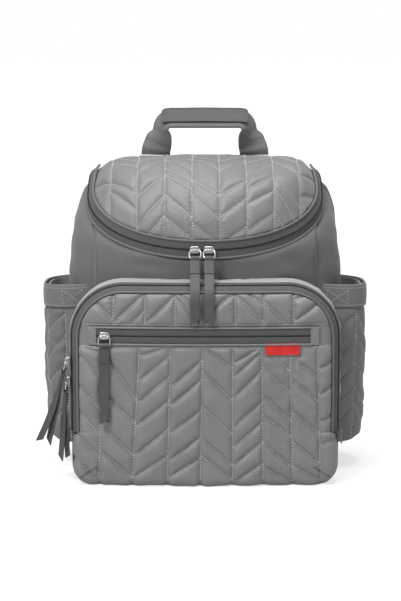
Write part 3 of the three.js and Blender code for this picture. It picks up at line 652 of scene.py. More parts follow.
PLASTIC = hard_plastic("black_plastic", 0.02)
BOARD = hard_plastic("base_board_fibre", 0.32, 0.8)


def label_cloth():
    material, tree, output = new_material("label_satin")
    place = node(tree, "ShaderNodeTexCoord")
    split = node(tree, "ShaderNodeSeparateXYZ", {0: place.outputs["UV"]})
    ribs = sum_of(tree, "SINE", sum_of(tree, "MULTIPLY", split.outputs["Y"], 9000.0))
    cloudy = noise(tree, place.outputs["Object"], 90.0, 3.0)
    colour = blend_colours(
        tree, ranged(tree, cloudy, 0, 1, 0.3, 0.7), (0.72, 0.012, 0.014, 1), (0.85, 0.025, 0.02, 1)
    )
    raised = node(tree, "ShaderNodeBump", {"Height": ribs, "Strength": 0.4, "Distance": 0.0001})
    shader = node(
        tree,
        "ShaderNodeBsdfPrincipled",
        {
            "Base Color": colour,
            "Roughness": ranged(tree, cloudy, 0.45, 0.6, 0.3, 0.7),
            "Normal": raised.outputs[0],
            "Sheen Weight": 0.2,
        },
    )
    tree.links.new(shader.outputs[0], output.inputs[0])
    return material


LABEL_RED = label_cloth()


def place(piece, body, *nodes, fill=None):
    """Rides a piece on its body, in place of CAD nodes; fill is not used."""
    if nodes:
        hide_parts(*nodes)
    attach(piece, body)
    return piece


# ---------------------------------------------------------------- quilting


def line_gaps(pattern, lines):
    """For each point of a flat pattern: distance to every stitched line, and place along it."""
    flat = pattern.reshape(-1, 2)
    gaps, runs = [], []
    for (a0, b0), (a1, b1) in lines:
        start, step = np.array((a0, b0)), np.array((a1 - a0, b1 - b0))
        length = np.linalg.norm(step)
        t = np.clip((flat - start) @ step / length**2, 0, 1)
        gaps.append(np.linalg.norm(flat - start - t[:, None] * step, axis=1))
        runs.append((flat - start) @ step / length)
    return np.array(gaps), np.array(runs)


def quilting(pattern, lines, seed, height=3.0, plump=11.0, border=None):
    """Height of the wadding over a stitched pattern, with the small puckers beside the thread."""
    gaps, runs = line_gaps(pattern, lines)
    every = gaps if border is None else np.vstack([gaps, border.reshape(1, -1)])
    near = (np.maximum(every, 0.05) ** -5.0).sum(axis=0) ** (-1 / 5.0)
    swell = 1 - (1 - np.minimum(near / plump, 1)) ** 3.4
    rng = np.random.default_rng(seed)
    flat = pattern.reshape(-1, 2)
    spots = np.c_[flat, np.zeros(len(flat))]
    patches = smoothstep(-0.5, 0.9, drift(spots, 55, seed + 1))
    pucker = np.zeros(len(flat))
    for gap, run in zip(gaps, runs):
        close = gap < 14
        phase = 2 * np.pi * run[close] / rng.uniform(4.2, 6.2) + rng.uniform(0, 6.3)
        phase += 1.6 * drift(spots[close], 24, seed + 2)
        away = gap[close]
        pucker[close] += np.cos(phase) * np.exp(-((away / 5.5) ** 2)) * (away / (away + 1.2))
    uneven = 1 + 0.16 * drift(spots, 40, seed + 3)
    total = height * swell * uneven + 0.5 * patches * pucker
    return total.reshape(pattern.shape[:2])


def slants(lines_x, columns):
    """Stitched lines between neighbouring upright lines, from heights at their left and right."""
    made = []
    for (left, right), heights in zip(zip(lines_x[:-1], lines_x[1:]), columns):
        made += [((left, low), (right, high)) for low, high in heights]
    return made


# ---------------------------------------------------------------- lid

LID_UPRIGHTS = [-107, -76.5, -45.5, -14.7, 16.2, 46.5, 77.2, 107]
LID_LENGTH = 205
LID_SLANTS = [
    [(150, 122), (99, 73), (88, 54), (55, 28), (176, 150)],
    [(15, 40), (35, 65), (68, 95), (104, 140), (140, 176)],
    [(143, 108), (113, 86), (99, 71), (67, 35), (40, 12), (176, 146)],
    [(150, 110), (87, 60), (62, 33), (30, 5), (178, 150)],
    [(108, 146), (62, 86), (35, 62), (4, 30), (146, 176)],
    [(73, 99), (54, 76), (25, 51), (100, 134), (2, 24), (138, 170)],
    [(150, 112), (94, 71), (79, 49), (53, 21), (26, 2), (180, 150)],
]
LID_EDGES = [
    ((-130, 168), (-107, 150)), ((-128, 116), (-107, 98)), ((-128, 66), (-107, 48)),
    ((107, 60), (128, 76)), ((107, 84), (128, 98)), ((107, 112), (126, 128)),
]


LID_LEAN = [0, 3, 8, 9, 6, 2]  # how far the quilted lid's sides lean in over its rings


def lid_rows(count):
    """Rings up the dome and on to its middle."""
    half, front, rear, z_front, z_rear = LID_RINGS[-1]
    slope = (z_rear - z_front) / (rear - front)
    middle = z_front + slope * (RING_CENTRE_Y - front)
    rings = [ring - (lean, 0, 0, 0, 0) for ring, lean in zip(LID_RINGS, LID_LEAN)]
    for share in (0.62, 0.3, 0.004):
        ahead, behind = share * (RING_CENTRE_Y - front), share * (rear - RING_CENTRE_Y)
        crown = LID_CROWN * (1 - share**2)
        rings.append((
            half * share, RING_CENTRE_Y - ahead, RING_CENTRE_Y + behind,
            middle - slope * ahead + crown, middle + slope * behind + crown,
        ))
    return ring_rows(np.array(rings), count)


def lid_reach(points):
    """Distance up the lid's front and over its crown, for the quilting's pattern."""
    front, rear = LID_RINGS[0, [1, 3]], LID_RINGS[0, [2, 4]]
    heading = unit(rear - front)
    profile = np.array([(r[1], r[3]) for r in LID_RINGS] + [(r[2], r[4]) for r in LID_RINGS[::-1]])
    run = np.r_[0, np.cumsum(np.linalg.norm(np.diff(profile, axis=0), axis=1))]
    depth = np.maximum.accumulate((profile - front) @ heading + 1e-6 * run)
    return np.interp((points[..., 1:] - front) @ heading, depth, run)


def full_turn(ring):
    return np.pi / 2


def next_turn(ring):
    return 5 * np.pi / 2


LID_COLUMNS = 380
LID_BAND = 9.5  # width of the lid's tape, measured up its surface
lid_grid = ring_grid(lid_rows(92), full_turn, next_turn, LID_COLUMNS + 1)[:, :-1]
lid_pattern = np.stack([lid_grid[..., 0], lid_reach(lid_grid)], axis=-1)
lid_out = normals(lid_grid, closed=True)
LID_LINES = (
    [((x, 0), (x, LID_LENGTH)) for x in LID_UPRIGHTS] + slants(LID_UPRIGHTS, LID_SLANTS) + LID_EDGES
)
rim_gap = np.cumsum(np.linalg.norm(np.diff(lid_grid, axis=0, prepend=lid_grid[:1]), axis=-1), axis=0)
lid_border = np.maximum(rim_gap - LID_BAND + 1, 0.0)
lid_relief = quilting(lid_pattern, LID_LINES, 3, height=2.7, border=lid_border)
lid_rear = smoothstep(115, 165, lid_pattern[..., 1])  # where the open lid nears the handle
lid_relief *= 1 - 0.5 * lid_rear
lid_relief = lid_relief * smoothstep(LID_BAND - 1, LID_BAND + 3, rim_gap) - 1.1
lid_relief += 0.8 * drift(lid_grid, 75, 21) * smoothstep(LID_BAND - 1, LID_BAND + 8, rim_gap)
lid_relief -= 1.4 * lid_rear
lid_surface = lid_grid + lid_out * lid_relief[..., None]
lid_quilt = shell("lid_quilt", lid_surface, 2.6, QUILT, LINING, closed=True, cap=True, uv=lid_pattern)
place(lid_quilt, "lid", "lid_panel", fill=0.35)

lid_map = Surface(lid_pattern[:, :], lid_surface, normals(lid_surface, closed=True))


def inside_lid(spots):
    """Only the stretch of a line that lies on the lid's quilted part."""
    kept = []
    for a, b in spots:
        _, _, gap = lid_map.tree.find((a, b, 0))
        kept.append(gap < 1.6)
    return spots[np.array(kept)]


def thread_runs(surface, lines, step=1.5, test=None):
    runs = []
    for line in lines:
        spots = densify(line, step)
        if test is not None:
            spots = test(spots)
        if len(spots) > 2:
            runs.append(surface.at(spots))
    return runs


lid_lines = [[(x, 8), (x, LID_LENGTH - 12)] for x in LID_UPRIGHTS]
lid_lines += [list(line) for line in LID_LINES[len(LID_UPRIGHTS):]]
place(
    stitched("lid_stitching", thread_runs(lid_map, lid_lines, test=inside_lid), THREAD), "lid"
)


# ---------------------------------------------------------------- lid zip


def zip_path(count=260, grow=0.0, lift=0.0):
    """Round the front between the lid's rear corners: points, and outward directions."""
    ring = LID_RINGS[0].copy()
    start = np.arctan2(ZIP_REAR[1] - RING_CENTRE_Y, -ZIP_REAR[0])
    end = np.arctan2(ZIP_REAR[1] - RING_CENTRE_Y, ZIP_REAR[0]) + 2 * np.pi
    path = even(outline(ring, np.linspace(start, end, 6 * count)), count)
    ahead = unit(np.gradient(path, axis=0))
    out = unit(np.cross(ahead, (0, 0, 1)) * (1, 1, 0))
    return path + out * grow + np.array((0, 0, lift)), out


def zip_start(ring):
    return np.arctan2(ZIP_REAR[1] - RING_CENTRE_Y, -ZIP_REAR[0])


def zip_end(ring):
    return np.arctan2(ZIP_REAR[1] - RING_CENTRE_Y, ZIP_REAR[0]) + 2 * np.pi


def rim_lines(rows, reaches, lift):
    """Lines beside the zip at given distances from it over a surface whose rows start there."""
    grid = ring_grid(rows, zip_start, zip_end, 260)
    out = normals(grid)
    out *= np.sign((out * (grid - (0, RING_CENTRE_Y, 250))).sum(axis=-1, keepdims=True))
    grid = grid + out * lift
    run = np.cumsum(np.linalg.norm(np.diff(grid, axis=0, prepend=grid[:1]), axis=-1), axis=0)
    lines = [
        [[np.interp(reach, run[:, k], grid[:, k, axis]) for axis in range(3)] for k in range(260)]
        for reach in reaches
    ]
    return np.array(lines)


lid_low_rows = lid_rows(92)[:40]
body_top_rows = ring_rows(BODY_RINGS, 130, 0.8, 0.999)[::-1]
lid_band = rim_lines(lid_low_rows, np.linspace(0.5, LID_BAND, 10), 1.3)
body_band = rim_lines(body_top_rows, np.linspace(0.5, 8.5, 10), 1.2)
place(shell("lid_tape", lid_band, 1.5, TAPE_CLOTH), "lid", "lid_zip_tape")
place(tube("lid_piping", rim_lines(lid_low_rows, [LID_BAND], 1.6)[0], 1.4, CORD_CLOTH, sides=10), "lid")
place(shell("body_tape", body_band[::-1], 1.4, TAPE_CLOTH), "bag", "body_zip_tape")
place(tube("body_piping", rim_lines(body_top_rows, [9.0], 1.2)[0], 1.3, CORD_CLOTH, sides=10), "bag")
# The lid zip's chain: a near-black cord whose colour is partly the coil's and partly painted shade of
# the gap between the tapes.
chain_line, _ = zip_path(grow=1.5)
place(tube("lid_chain_and_gap_shade", chain_line, 0.8, CHAIN_AND_GAP_SHADE, sides=10), "bag")


# ---------------------------------------------------------------- body panels


def seam_right(ring):
    return front_seam(ring, SEAM_X) - 2 * np.pi


def back_right(ring):
    return rear_seam(ring, BACK_SEAM_Y, 1)


def back_left(ring):
    return rear_seam(ring, BACK_SEAM_Y, -1)


def twill_panel(name, start, end, columns, seed, node_name, depth=1.0):
    rows = ring_rows(BODY_RINGS, 130, 0.028, 0.998)
    grid = ring_grid(rows, start, end, columns, inset=0.4)
    out = normals(grid)
    share = np.linspace(0, 1, columns)[None, :]
    height = np.linspace(0, 1, len(rows))[:, None]
    wide = np.linalg.norm(np.diff(grid[60], axis=0), axis=1).sum()
    tucked = smoothstep(0, 5 / wide, share) * smoothstep(0, 5 / wide, 1 - share)
    tucked = tucked * smoothstep(0, 0.03, height) * smoothstep(0, 0.05, 1 - height)
    relief = 1.5 * drift(grid, 110, seed) + 0.5 * drift(grid * (1, 1, 1.8), 45, seed + 1)
    relief += 0.9 * depth * creases(grid, seed + 2, 26, 34, 7)
    surface = grid + out * (relief * tucked - 2.4 * (1 - tucked))[..., None]
    panel = shell(name, surface, 2.0, TWILL, LINING)
    place(panel, "bag", node_name, fill=0.25)
    return surface, out


def left_start(ring):
    return front_seam(ring, -SEAM_X)


def right_end(ring):
    return front_seam(ring, SEAM_X)


front_twill, front_twill_out = twill_panel("front_twill", left_start, right_end, 150, 31, "front_panel")
twill_panel(
    "right_twill", seam_right, back_right, 60, 41, "side_gusset_right", 1.3
)
twill_panel(
    "left_twill", back_left, left_start, 60, 51, "side_gusset_left", 1.3
)
twill_panel("back_twill", back_right, back_left, 140, 61, "back_panel", 0.6)
# Darker thread along the front panel's two seams: the dark line is partly the stitching and partly
# painted shade of the seam grooves.
seams = [
    (front_twill[6:-3, k] + front_twill_out[6:-3, k] * 0.6, front_twill_out[6:-3, k])
    for k in (3, -4)
]
place(stitched("body_seam_stitching_and_groove_shade", seams, DARK_THREAD, length=2.2, radius=0.25), "bag")


# ---------------------------------------------------------------- front pocket


def arch_half(z, inset=0.0):
    """Half width of the pocket's outline at a height."""
    half, top = POCKET_HALF - inset, POCKET_TOP - inset
    corner, foot = POCKET_CORNER - inset, POCKET_FOOT - inset
    z = np.asarray(z, float)
    above = np.clip((z - (top - corner)) / corner, 0, 1)
    below = np.clip((foot + inset - z) / foot, 0, 1)
    return (
        half - corner * (1 - np.sqrt(1 - above**2)) - foot * (1 - np.sqrt(1 - below**2))
    )


def arch_depth(x, z):
    """How far a point of the pocket's face lies inside its outline; its foot turns in tightly."""
    middle = (POCKET_TOP - 60) / 2

    def inside(half_height, centre, corner):
        across = np.abs(x) - (POCKET_HALF - corner)
        upward = np.abs(z - centre) - (half_height - corner)
        outer = np.hypot(np.maximum(across, 0), np.maximum(upward, 0))
        return corner - outer - np.minimum(np.maximum(across, upward), 0)

    sides = inside((POCKET_TOP + 60) / 2, middle, POCKET_CORNER)
    foot = inside((POCKET_FOOT * 8) / 2, POCKET_FOOT * 4, POCKET_FOOT)
    foot = np.where(z < POCKET_FOOT * 3, foot, 400)
    return np.maximum(np.minimum(np.where(z > POCKET_CORNER, sides, 400), 3 * foot), 0)


def pocket_face(x, z):
    """The pillowed front of the pocket."""
    depth = np.minimum(arch_depth(x, z) / POCKET_ROLL, 1)
    sag = POCKET_SAG * (x / 150) ** 2
    return RIM_Y - POCKET_DEPTH * (1 - (1 - depth) ** 5.5) + sag


FRONT_TOP = [-113, -72, -38, -3, 30, 62, 93, 123]
FRONT_FOOT = [-118, -81, -42, -5.5, 30, 64, 97, 128]
UPPER_UPRIGHTS = [-100.7, -66.4, -33.1, 0.2, 32.6, 64, 96.2]
UPPER_SLANTS = [
    ((-121, 207), (-101, 187)), ((-100, 185), (-67, 216)), ((-66, 183), (-34, 213)),
    ((-33, 212), (-12, 191)), ((-27, 216), (-8, 197)), ((2, 196), (32, 217)),
    ((33, 216), (63, 185)), ((46, 218), (64, 203)), ((65, 207), (88, 184)),
    ((97, 186), (124, 205)), ((-80, 184), (-67, 197)), ((98, 210), (112, 216)),
]
# Heights of each slanting line where it meets the upright on its left and on its right
FRONT_SLANTS = [
    [(178, 150), (149, 122), (116, 86), (88, 58), (62, 32), (32, 4)],
    [(152, 97), (107, 72), (71, 35), (41, 10)],
    [(147, 178), (118, 148), (94, 125), (68, 99), (35, 66), (10, 36)],
    [(112, 143), (92, 122), (59, 88), (29, 58), (10, 34)],
    [(163, 134), (131, 98), (92, 60), (55, 25), (36, 8)],
    [(123, 153), (139, 168), (100, 132), (66, 98), (44, 74), (24, 52), (4, 28)],
    [(159, 130), (135, 106), (104, 74), (82, 56), (50, 22), (23, 4)],
    [(145, 124), (121, 96), (85, 60), (51, 26), (24, 6)],
    [(102, 116), (132, 142), (72, 82), (46, 54)],
]


def front_uprights():
    """The pocket's upright stitching, below the slip zip and above it."""
    low = [((foot, 4), (top, 158)) for top, foot in zip(FRONT_TOP, FRONT_FOOT)]
    return low, [((x, 181), (x, 217)) for x in UPPER_UPRIGHTS]


def front_lines():
    low, high = front_uprights()
    tops = [-141, *FRONT_TOP, 141]
    feet = [-147, *FRONT_FOOT, 147]
    made = []
    for column, heights in enumerate(FRONT_SLANTS):
        for left, right in heights:
            a = np.interp(left, (0, 158), (feet[column], tops[column]))
            b = np.interp(right, (0, 158), (feet[column + 1], tops[column + 1]))
            span = (min(left, 158), min(right, 158))
            made.append(((a, span[0]), (b, span[1])))
    return low + high + made + UPPER_SLANTS


def corner_steps(radius, pitch):
    return np.linspace(0, np.pi / 2, int(radius * np.pi / 2 / pitch))


foot_turn = corner_steps(POCKET_FOOT, 1.5)
top_radius = POCKET_CORNER - FLAP_BORDER
top_turn = corner_steps(top_radius, 1.7)
top_start = POCKET_TOP - POCKET_CORNER
front_z = np.r_[
    POCKET_FOOT * (1 - np.cos(foot_turn)) + 0.4,
    np.arange(POCKET_FOOT + 2, top_start - 1, 1.7),
    top_start + top_radius * np.sin(top_turn) * 0.9995,
]
border = FLAP_BORDER * smoothstep(52, 61, front_z)
half = np.array([arch_half(z, b) for z, b in zip(front_z, border)])
front_x = half[:, None] * np.linspace(-1, 1, 172)[None, :]
front_height = np.broadcast_to(front_z[:, None], front_x.shape)
front_grid = np.stack([front_x, pocket_face(front_x, front_height), front_height], axis=-1)
front_pattern = np.stack([front_x, front_height], axis=-1)
front_out = normals(front_grid)
edge_gap = np.maximum(arch_depth(front_x, front_height) - border[:, None], 0)
slip_gap = np.minimum(np.abs(front_height - 181.5), np.abs(front_height - 157.5))
slip_band = smoothstep(156, 158.5, front_height) * smoothstep(183, 180.5, front_height)
front_relief = quilting(
    front_pattern, front_lines(), 11, height=4.2, border=np.minimum(edge_gap + 0.6, slip_gap + 0.4)
)
crumple = np.exp(-(((front_x - 95) / 38) ** 2) - ((front_height - 105) / 55) ** 2)
crumple += 0.3 * np.exp(-(((front_x + 120) / 30) ** 2) - ((front_height - 60) / 70) ** 2)
inner_share = smoothstep(0, 14, edge_gap)
front_relief += crumple * inner_share * (
    1.8 * creases(front_grid * (1, 0, 1), 77, 70, 15, 4.2) + 0.5 * drift(front_grid, 10, 78)
)
front_relief += 0.5 * drift(front_grid, 26, 79) * inner_share * (1 - slip_band)
front_relief = front_relief * (1 - slip_band) + slip_band * 0.4
# The wadding lies flat under the label
label_low, label_high = (np.array(corner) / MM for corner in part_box("blank_label"))
pressed = smoothstep(label_low[0] - 9, label_low[0] - 1, front_x)
pressed = pressed * smoothstep(label_high[0] + 9, label_high[0] + 1, front_x)
pressed = pressed * smoothstep(label_low[2] - 8, label_low[2] - 1, front_height)
pressed = pressed * smoothstep(label_high[2] + 3, label_high[2], front_height)
front_relief = front_relief * (1 - pressed) + 0.4 * pressed
front_surface = front_grid + front_out * (front_relief * smoothstep(0, 3, edge_gap) - 2.0)[..., None]

cell_x = (front_x[:-1, :-1] + front_x[1:, 1:]) / 2
cell_z = (front_height[:-1, :-1] + front_height[1:, 1:]) / 2
window = (
    (cell_x > SLIP_LEFT) & (cell_x < SLIP_RIGHT) & (cell_z > SLIP_LOW) & (cell_z < SLIP_HIGH)
)
front_quilt = shell(
    "front_quilt", front_surface, 2.6, QUILT, LINING, keep=~window, uv=front_pattern
)
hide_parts("flap_panel", "pocket_base_panel")
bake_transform(front_quilt)

front_map = Surface(front_pattern, front_surface, normals(front_surface))


def inside_front(spots):
    a, b = spots[:, 0], spots[:, 1]
    limit = np.array([arch_half(z, FLAP_BORDER * float(z > HINGE_Z) + 2) for z in b])
    clear = (b > SLIP_HIGH + 3.4) | (b < SLIP_LOW - 3.4)
    return spots[(np.abs(a) < limit) & clear & (b > 2.5) & (b < POCKET_TOP - FLAP_BORDER - 2)]


bend_runs = thread_runs(front_map, [list(line) for line in front_lines()], test=inside_front)
front_stitches = stitched("front_stitching", bend_runs, THREAD)
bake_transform(front_stitches)


def face_line(xs, zs, lift=0.0):
    """A line drawn on the pocket's face, lifted off it."""
    xs, zs = np.broadcast_arrays(np.asarray(xs, float), np.asarray(zs, float))
    return np.stack([xs, pocket_face(xs, zs) - lift, zs], axis=-1)


def face_strip(name, start, stop, low, high, lift, thickness, look, wave=0.0, count=150):
    """A flat strip across the pocket's face between two heights."""
    xs = np.linspace(start, stop, count)
    heights = np.linspace(low, high, 8)
    grid = np.array([face_line(xs, z, lift) for z in heights])
    ends = np.abs(np.linspace(-1, 1, 8))[:, None] ** 4
    grid[..., 1] += 0.5 * ends + wave * drift(grid, 22, int(low))
    return shell(name, grid, thickness, look)


slip_middle = (SLIP_LOW + SLIP_HIGH) / 2
place(face_strip("slip_tape_upper", -119.6, 115.6, slip_middle + 0.45, SLIP_HIGH - 0.2, 0.2, 1.4,
                 TAPE_CLOTH, 0.15), "front_flap", "slip_zip_tape")
place(face_strip("slip_tape_lower", -119.6, 115.6, SLIP_LOW + 0.2, slip_middle - 0.45, 0.2, 1.4,
                 TAPE_CLOTH, 0.15), "front_flap")
# The slip zip's chain: a near-black cord whose colour is partly the coil's and partly painted shade of
# the gap between the tapes.
place(tube("slip_chain_and_gap_shade", face_line(np.linspace(-119.5, 115.5, 120), slip_middle, -0.3), 0.8, CHAIN_AND_GAP_SHADE),
      "front_flap")
for side, height in (("upper", SLIP_HIGH + 0.7), ("lower", SLIP_LOW - 0.7)):
    line = face_line(np.linspace(-121, 117, 140), height, 0.7)
    place(tube(f"slip_binding_{side}", line, 0.95, QUILT), "front_flap")
for side, start, stop in (("left", -128.5, -119.5), ("right", 115.5, 124.5)):
    patch = face_strip(f"slip_end_{side}", start, stop, 159.5, 179.5, 0.9, 1.1, QUILT, count=12)
    place(patch, "front_flap")
top_seams = []
for height in (181.9, 157.1):
    span = arch_half(height, FLAP_BORDER) - 3
    spots = densify([(-span, height), (span, height)])
    top_seams.append(front_map.at(spots))
place(stitched("slip_top_stitching", top_seams, THREAD, length=2.0, gap=0.8), "front_flap")


# The zip round the flap, and the wall that joins the pocket to the bag


def arch_path(inset, foot_z, pitch=2.2):
    """The pocket's outline from its left side at foot_z over the top to its right side."""
    corner, top = POCKET_CORNER - inset, POCKET_TOP - inset
    half_wide = POCKET_HALF - inset
    turn = corner_steps(corner, pitch)
    side_z = np.arange(foot_z, top - corner, pitch)
    right = np.r_[
        np.stack([np.full(len(side_z), half_wide), side_z], axis=-1),
        np.stack([half_wide - corner + corner * np.cos(turn),
                  top - corner + corner * np.sin(turn)], axis=-1),
    ]
    flat = np.linspace(half_wide - corner, 0, int((half_wide - corner) / pitch))[1:]
    right = np.vstack([right, np.stack([flat, np.full(len(flat), top)], axis=-1)])
    left = right[-2::-1] * (-1, 1)
    return even(np.vstack([right, left])[::-1], 300)


def arch_strip(name, spots, thickness, look, back=None):
    """Cloth along the pocket's outline: spots are (inset, y or None for the face) across it."""
    rows = []
    for inset, y in spots:
        path = arch_path(inset, HINGE_Z + 0.5)
        x, z = path[:, 0], path[:, 1]
        depth = pocket_face(x, z) if y is None else y + POCKET_SAG * (x / 150) ** 2
        rows.append(np.stack([x, np.broadcast_to(depth, x.shape), z], axis=-1))
    grid = np.array(rows)
    return grid, shell(name, grid, thickness, look, back)


flap_rows = [(i, None) for i in np.linspace(FLAP_BORDER + 0.6, 0.2, 9)]
_, flap_tape = arch_strip("flap_tape", flap_rows, 1.5, TAPE_CLOTH)
place(flap_tape, "front_flap", "flap_zip_tape")


def outline_line(inset, y, foot_z=HINGE_Z + 0.5, lift=0.0):
    path = arch_path(inset, foot_z)
    x, z = path[:, 0], path[:, 1]
    depth = pocket_face(x, z) if y is None else y + POCKET_SAG * (x / 150) ** 2
    return np.stack([x, depth - lift, z], axis=-1)


place(tube("flap_piping", outline_line(FLAP_BORDER + 0.2, None, lift=0.6), 1.3, CORD_CLOTH),
      "front_flap")
# The pocket zip's chain: a near-black cord whose colour is partly the coil's and partly painted shade
# of the gap between the tapes.
place(tube("pocket_chain_and_gap_shade", outline_line(-0.1, RIM_Y + 0.4), 0.9, CHAIN_AND_GAP_SHADE), "bag")


def arch_wall(name, near, far, lift, thickness, look, ripple, nodes, back=None):
    """The pocket's side wall between two depths, as a grid from the front towards the bag."""
    path = arch_path(-lift, HINGE_Z + 0.5)
    ahead = unit(np.gradient(path, axis=0))
    out = np.stack([-ahead[:, 1], ahead[:, 0]], axis=-1)
    shares = np.linspace(0, 1, 22)
    rows = []
    for share in shares:
        y = near + (far - near) * share + POCKET_SAG * (path[:, 0] / 150) ** 2
        grow = (y - RIM_Y) * 0.02
        spot = path + out * grow[:, None]
        rows.append(np.stack([spot[:, 0], y, spot[:, 1]], axis=-1))
    grid = np.array(rows)
    bulge = np.sin(np.pi * shares)[:, None]
    normal = np.stack([out[:, 0], 0 * out[:, 0], out[:, 1]], axis=-1)[None]
    grid = grid + normal * (bulge * (0.4 + ripple * drift(grid, 16, 90)))[..., None]
    wall = shell(name, grid[:, ::-1], thickness, look, back)
    return place(wall, "bag", *nodes, fill=None)


arch_wall("pocket_tape", RIM_Y + 0.7, RIM_Y + TAPE, 0.0, 1.5, TAPE_CLOTH, 0.0, ["pocket_zip_tape"])
arch_wall("pocket_wall", RIM_Y + TAPE, -72, 0.3, 2.2, TWILL, 0.7, ["pocket_gusset"], LINING)
place(tube("pocket_wall_piping", outline_line(-0.8, RIM_Y + TAPE + 0.4), 1.2, CORD_CLOTH), "bag")


def foot_wrap():
    """The pocket's quilted underside and lower sides, from its face back to the bag."""
    turn = corner_steps(POCKET_FOOT, 1.6)
    foot_x = POCKET_HALF - POCKET_FOOT
    side = np.arange(HINGE_Z + 1, POCKET_FOOT, -2.0)
    right = np.r_[
        np.stack([np.full(len(side), POCKET_HALF), side], axis=-1),
        np.stack([foot_x + POCKET_FOOT * np.cos(turn),
                  POCKET_FOOT - POCKET_FOOT * np.sin(turn)], axis=-1),
    ]
    path = even(np.vstack([right, right[::-1] * (-1, 1)]), 260)
    ahead = unit(np.gradient(path, axis=0))
    out = np.stack([-ahead[:, 1], ahead[:, 0]], axis=-1)
    rows = []
    for share in np.linspace(0, 1, 30):
        y = RIM_Y + 0.6 + 36 * share + POCKET_SAG * (path[:, 0] / 150) ** 2
        low = smoothstep(6, 0.6, path[:, 1])
        spot = path + out * (0.8 * np.sin(np.pi * share) * (1 - low))[:, None]
        spot[:, 1] = np.maximum(spot[:, 1], 0.2) + 0.3
        rows.append(np.stack([spot[:, 0], y, spot[:, 1]], axis=-1))
    return np.array(rows)


wrap = foot_wrap()
place(shell("pocket_foot", wrap, 2.2, QUILT, LINING), "bag")
foot_edge = wrap[0] + (0, -0.3, 0.2)
place(tube("pocket_foot_piping", foot_edge, 1.1, CORD_CLOTH), "bag")

# The folded darts at the pocket's two lower corners
for side, sign in (("left", -1), ("right", 1)):
    dart, dart_out = front_map.at(densify([(sign * 119, 23), (sign * 138, 10)]))
    place(tube(f"corner_dart_{side}", dart + dart_out * 0.2, 0.7, DARK_THREAD), "bag")


# ---------------------------------------------------------------- label and end tabs

low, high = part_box("blank_label")
low, high = np.array(low) / MM, np.array(high) / MM
xs = np.linspace(low[0], high[0], 60)
zs = np.linspace(low[2], high[2] + 0.8, 24)
grid = np.stack(np.meshgrid(xs, zs), axis=-1)
hang = np.linspace(1, 0, 24)[:, None]
face = pocket_face(grid[..., 0], grid[..., 1]) - 0.2
face = face - 0.6 * hang**1.5 * (0.7 + 0.5 * np.cos(grid[..., 0] / 8.5))
label_grid = np.stack([grid[..., 0], face, grid[..., 1]], axis=-1)
place(shell("blank_label_cloth", label_grid, 0.8, LABEL_RED), "front_flap", "blank_label")
label_seam = label_grid[-3] + (0, -0.1, 0)
place(
    stitched("label_stitching", [(label_seam, np.tile((0.0, -1.0, 0.0), (60, 1)))], LABEL_RED,
             length=1.8, gap=0.6, radius=0.22),
    "front_flap",
)

for side, sign in (("left", -1), ("right", 1)):
    low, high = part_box(f"zip_end_tab_{side}")
    low, high = np.array(low) / MM, np.array(high) / MM
    middle = (low + high) / 2
    turn = np.linspace(-0.5, 0.5, 16)
    centre = np.stack([
        np.full(16, middle[0]) - sign * 0.3 * np.cos(np.pi * turn),
        np.full(16, middle[1]),
        middle[2] + turn * (high[2] - low[2]),
    ], axis=-1)
    tab = strap(f"end_tab_{side}", centre, (0, 1, 0), high[1] - low[1], 1.6, CORD_CLOTH)
    place(tab, "bag", f"zip_end_tab_{side}")


# ---------------------------------------------------------------- side pockets

SIDE_LEVELS = np.array([(33, 176), (38, 182), (120, 185), (180, 184), (214, 182)], float)


def body_edge(headings, z):
    """The body's outline at a height, in the directions given from its middle."""
    at = np.clip(z, 0, 214)
    ring = pchip(BODY_RINGS[:4, 3], BODY_RINGS[:4], np.array([at]))[0]
    return outline(ring, headings)


def side_plan(z, reach, grow=0.0):
    """A side pocket's wall at one height on the right of the bag, outside the body."""
    turn = np.radians(np.linspace(-90, 90, 400))
    power = lambda value, exponent: np.sign(value) * np.abs(value) ** exponent
    y = 5 + (45 + grow) * power(np.sin(turn), 0.7)
    x = 120 + (reach + grow - 120) * power(np.cos(turn), 0.6)
    heading = np.arctan2(y - RING_CENTRE_Y, x)
    body = body_edge(heading, z)
    outside = np.hypot(x, y - RING_CENTRE_Y) > np.hypot(body[:, 0], body[:, 1] - RING_CENTRE_Y) - 1.5
    return np.stack([x, y, np.full(400, float(z))], axis=-1)[outside]


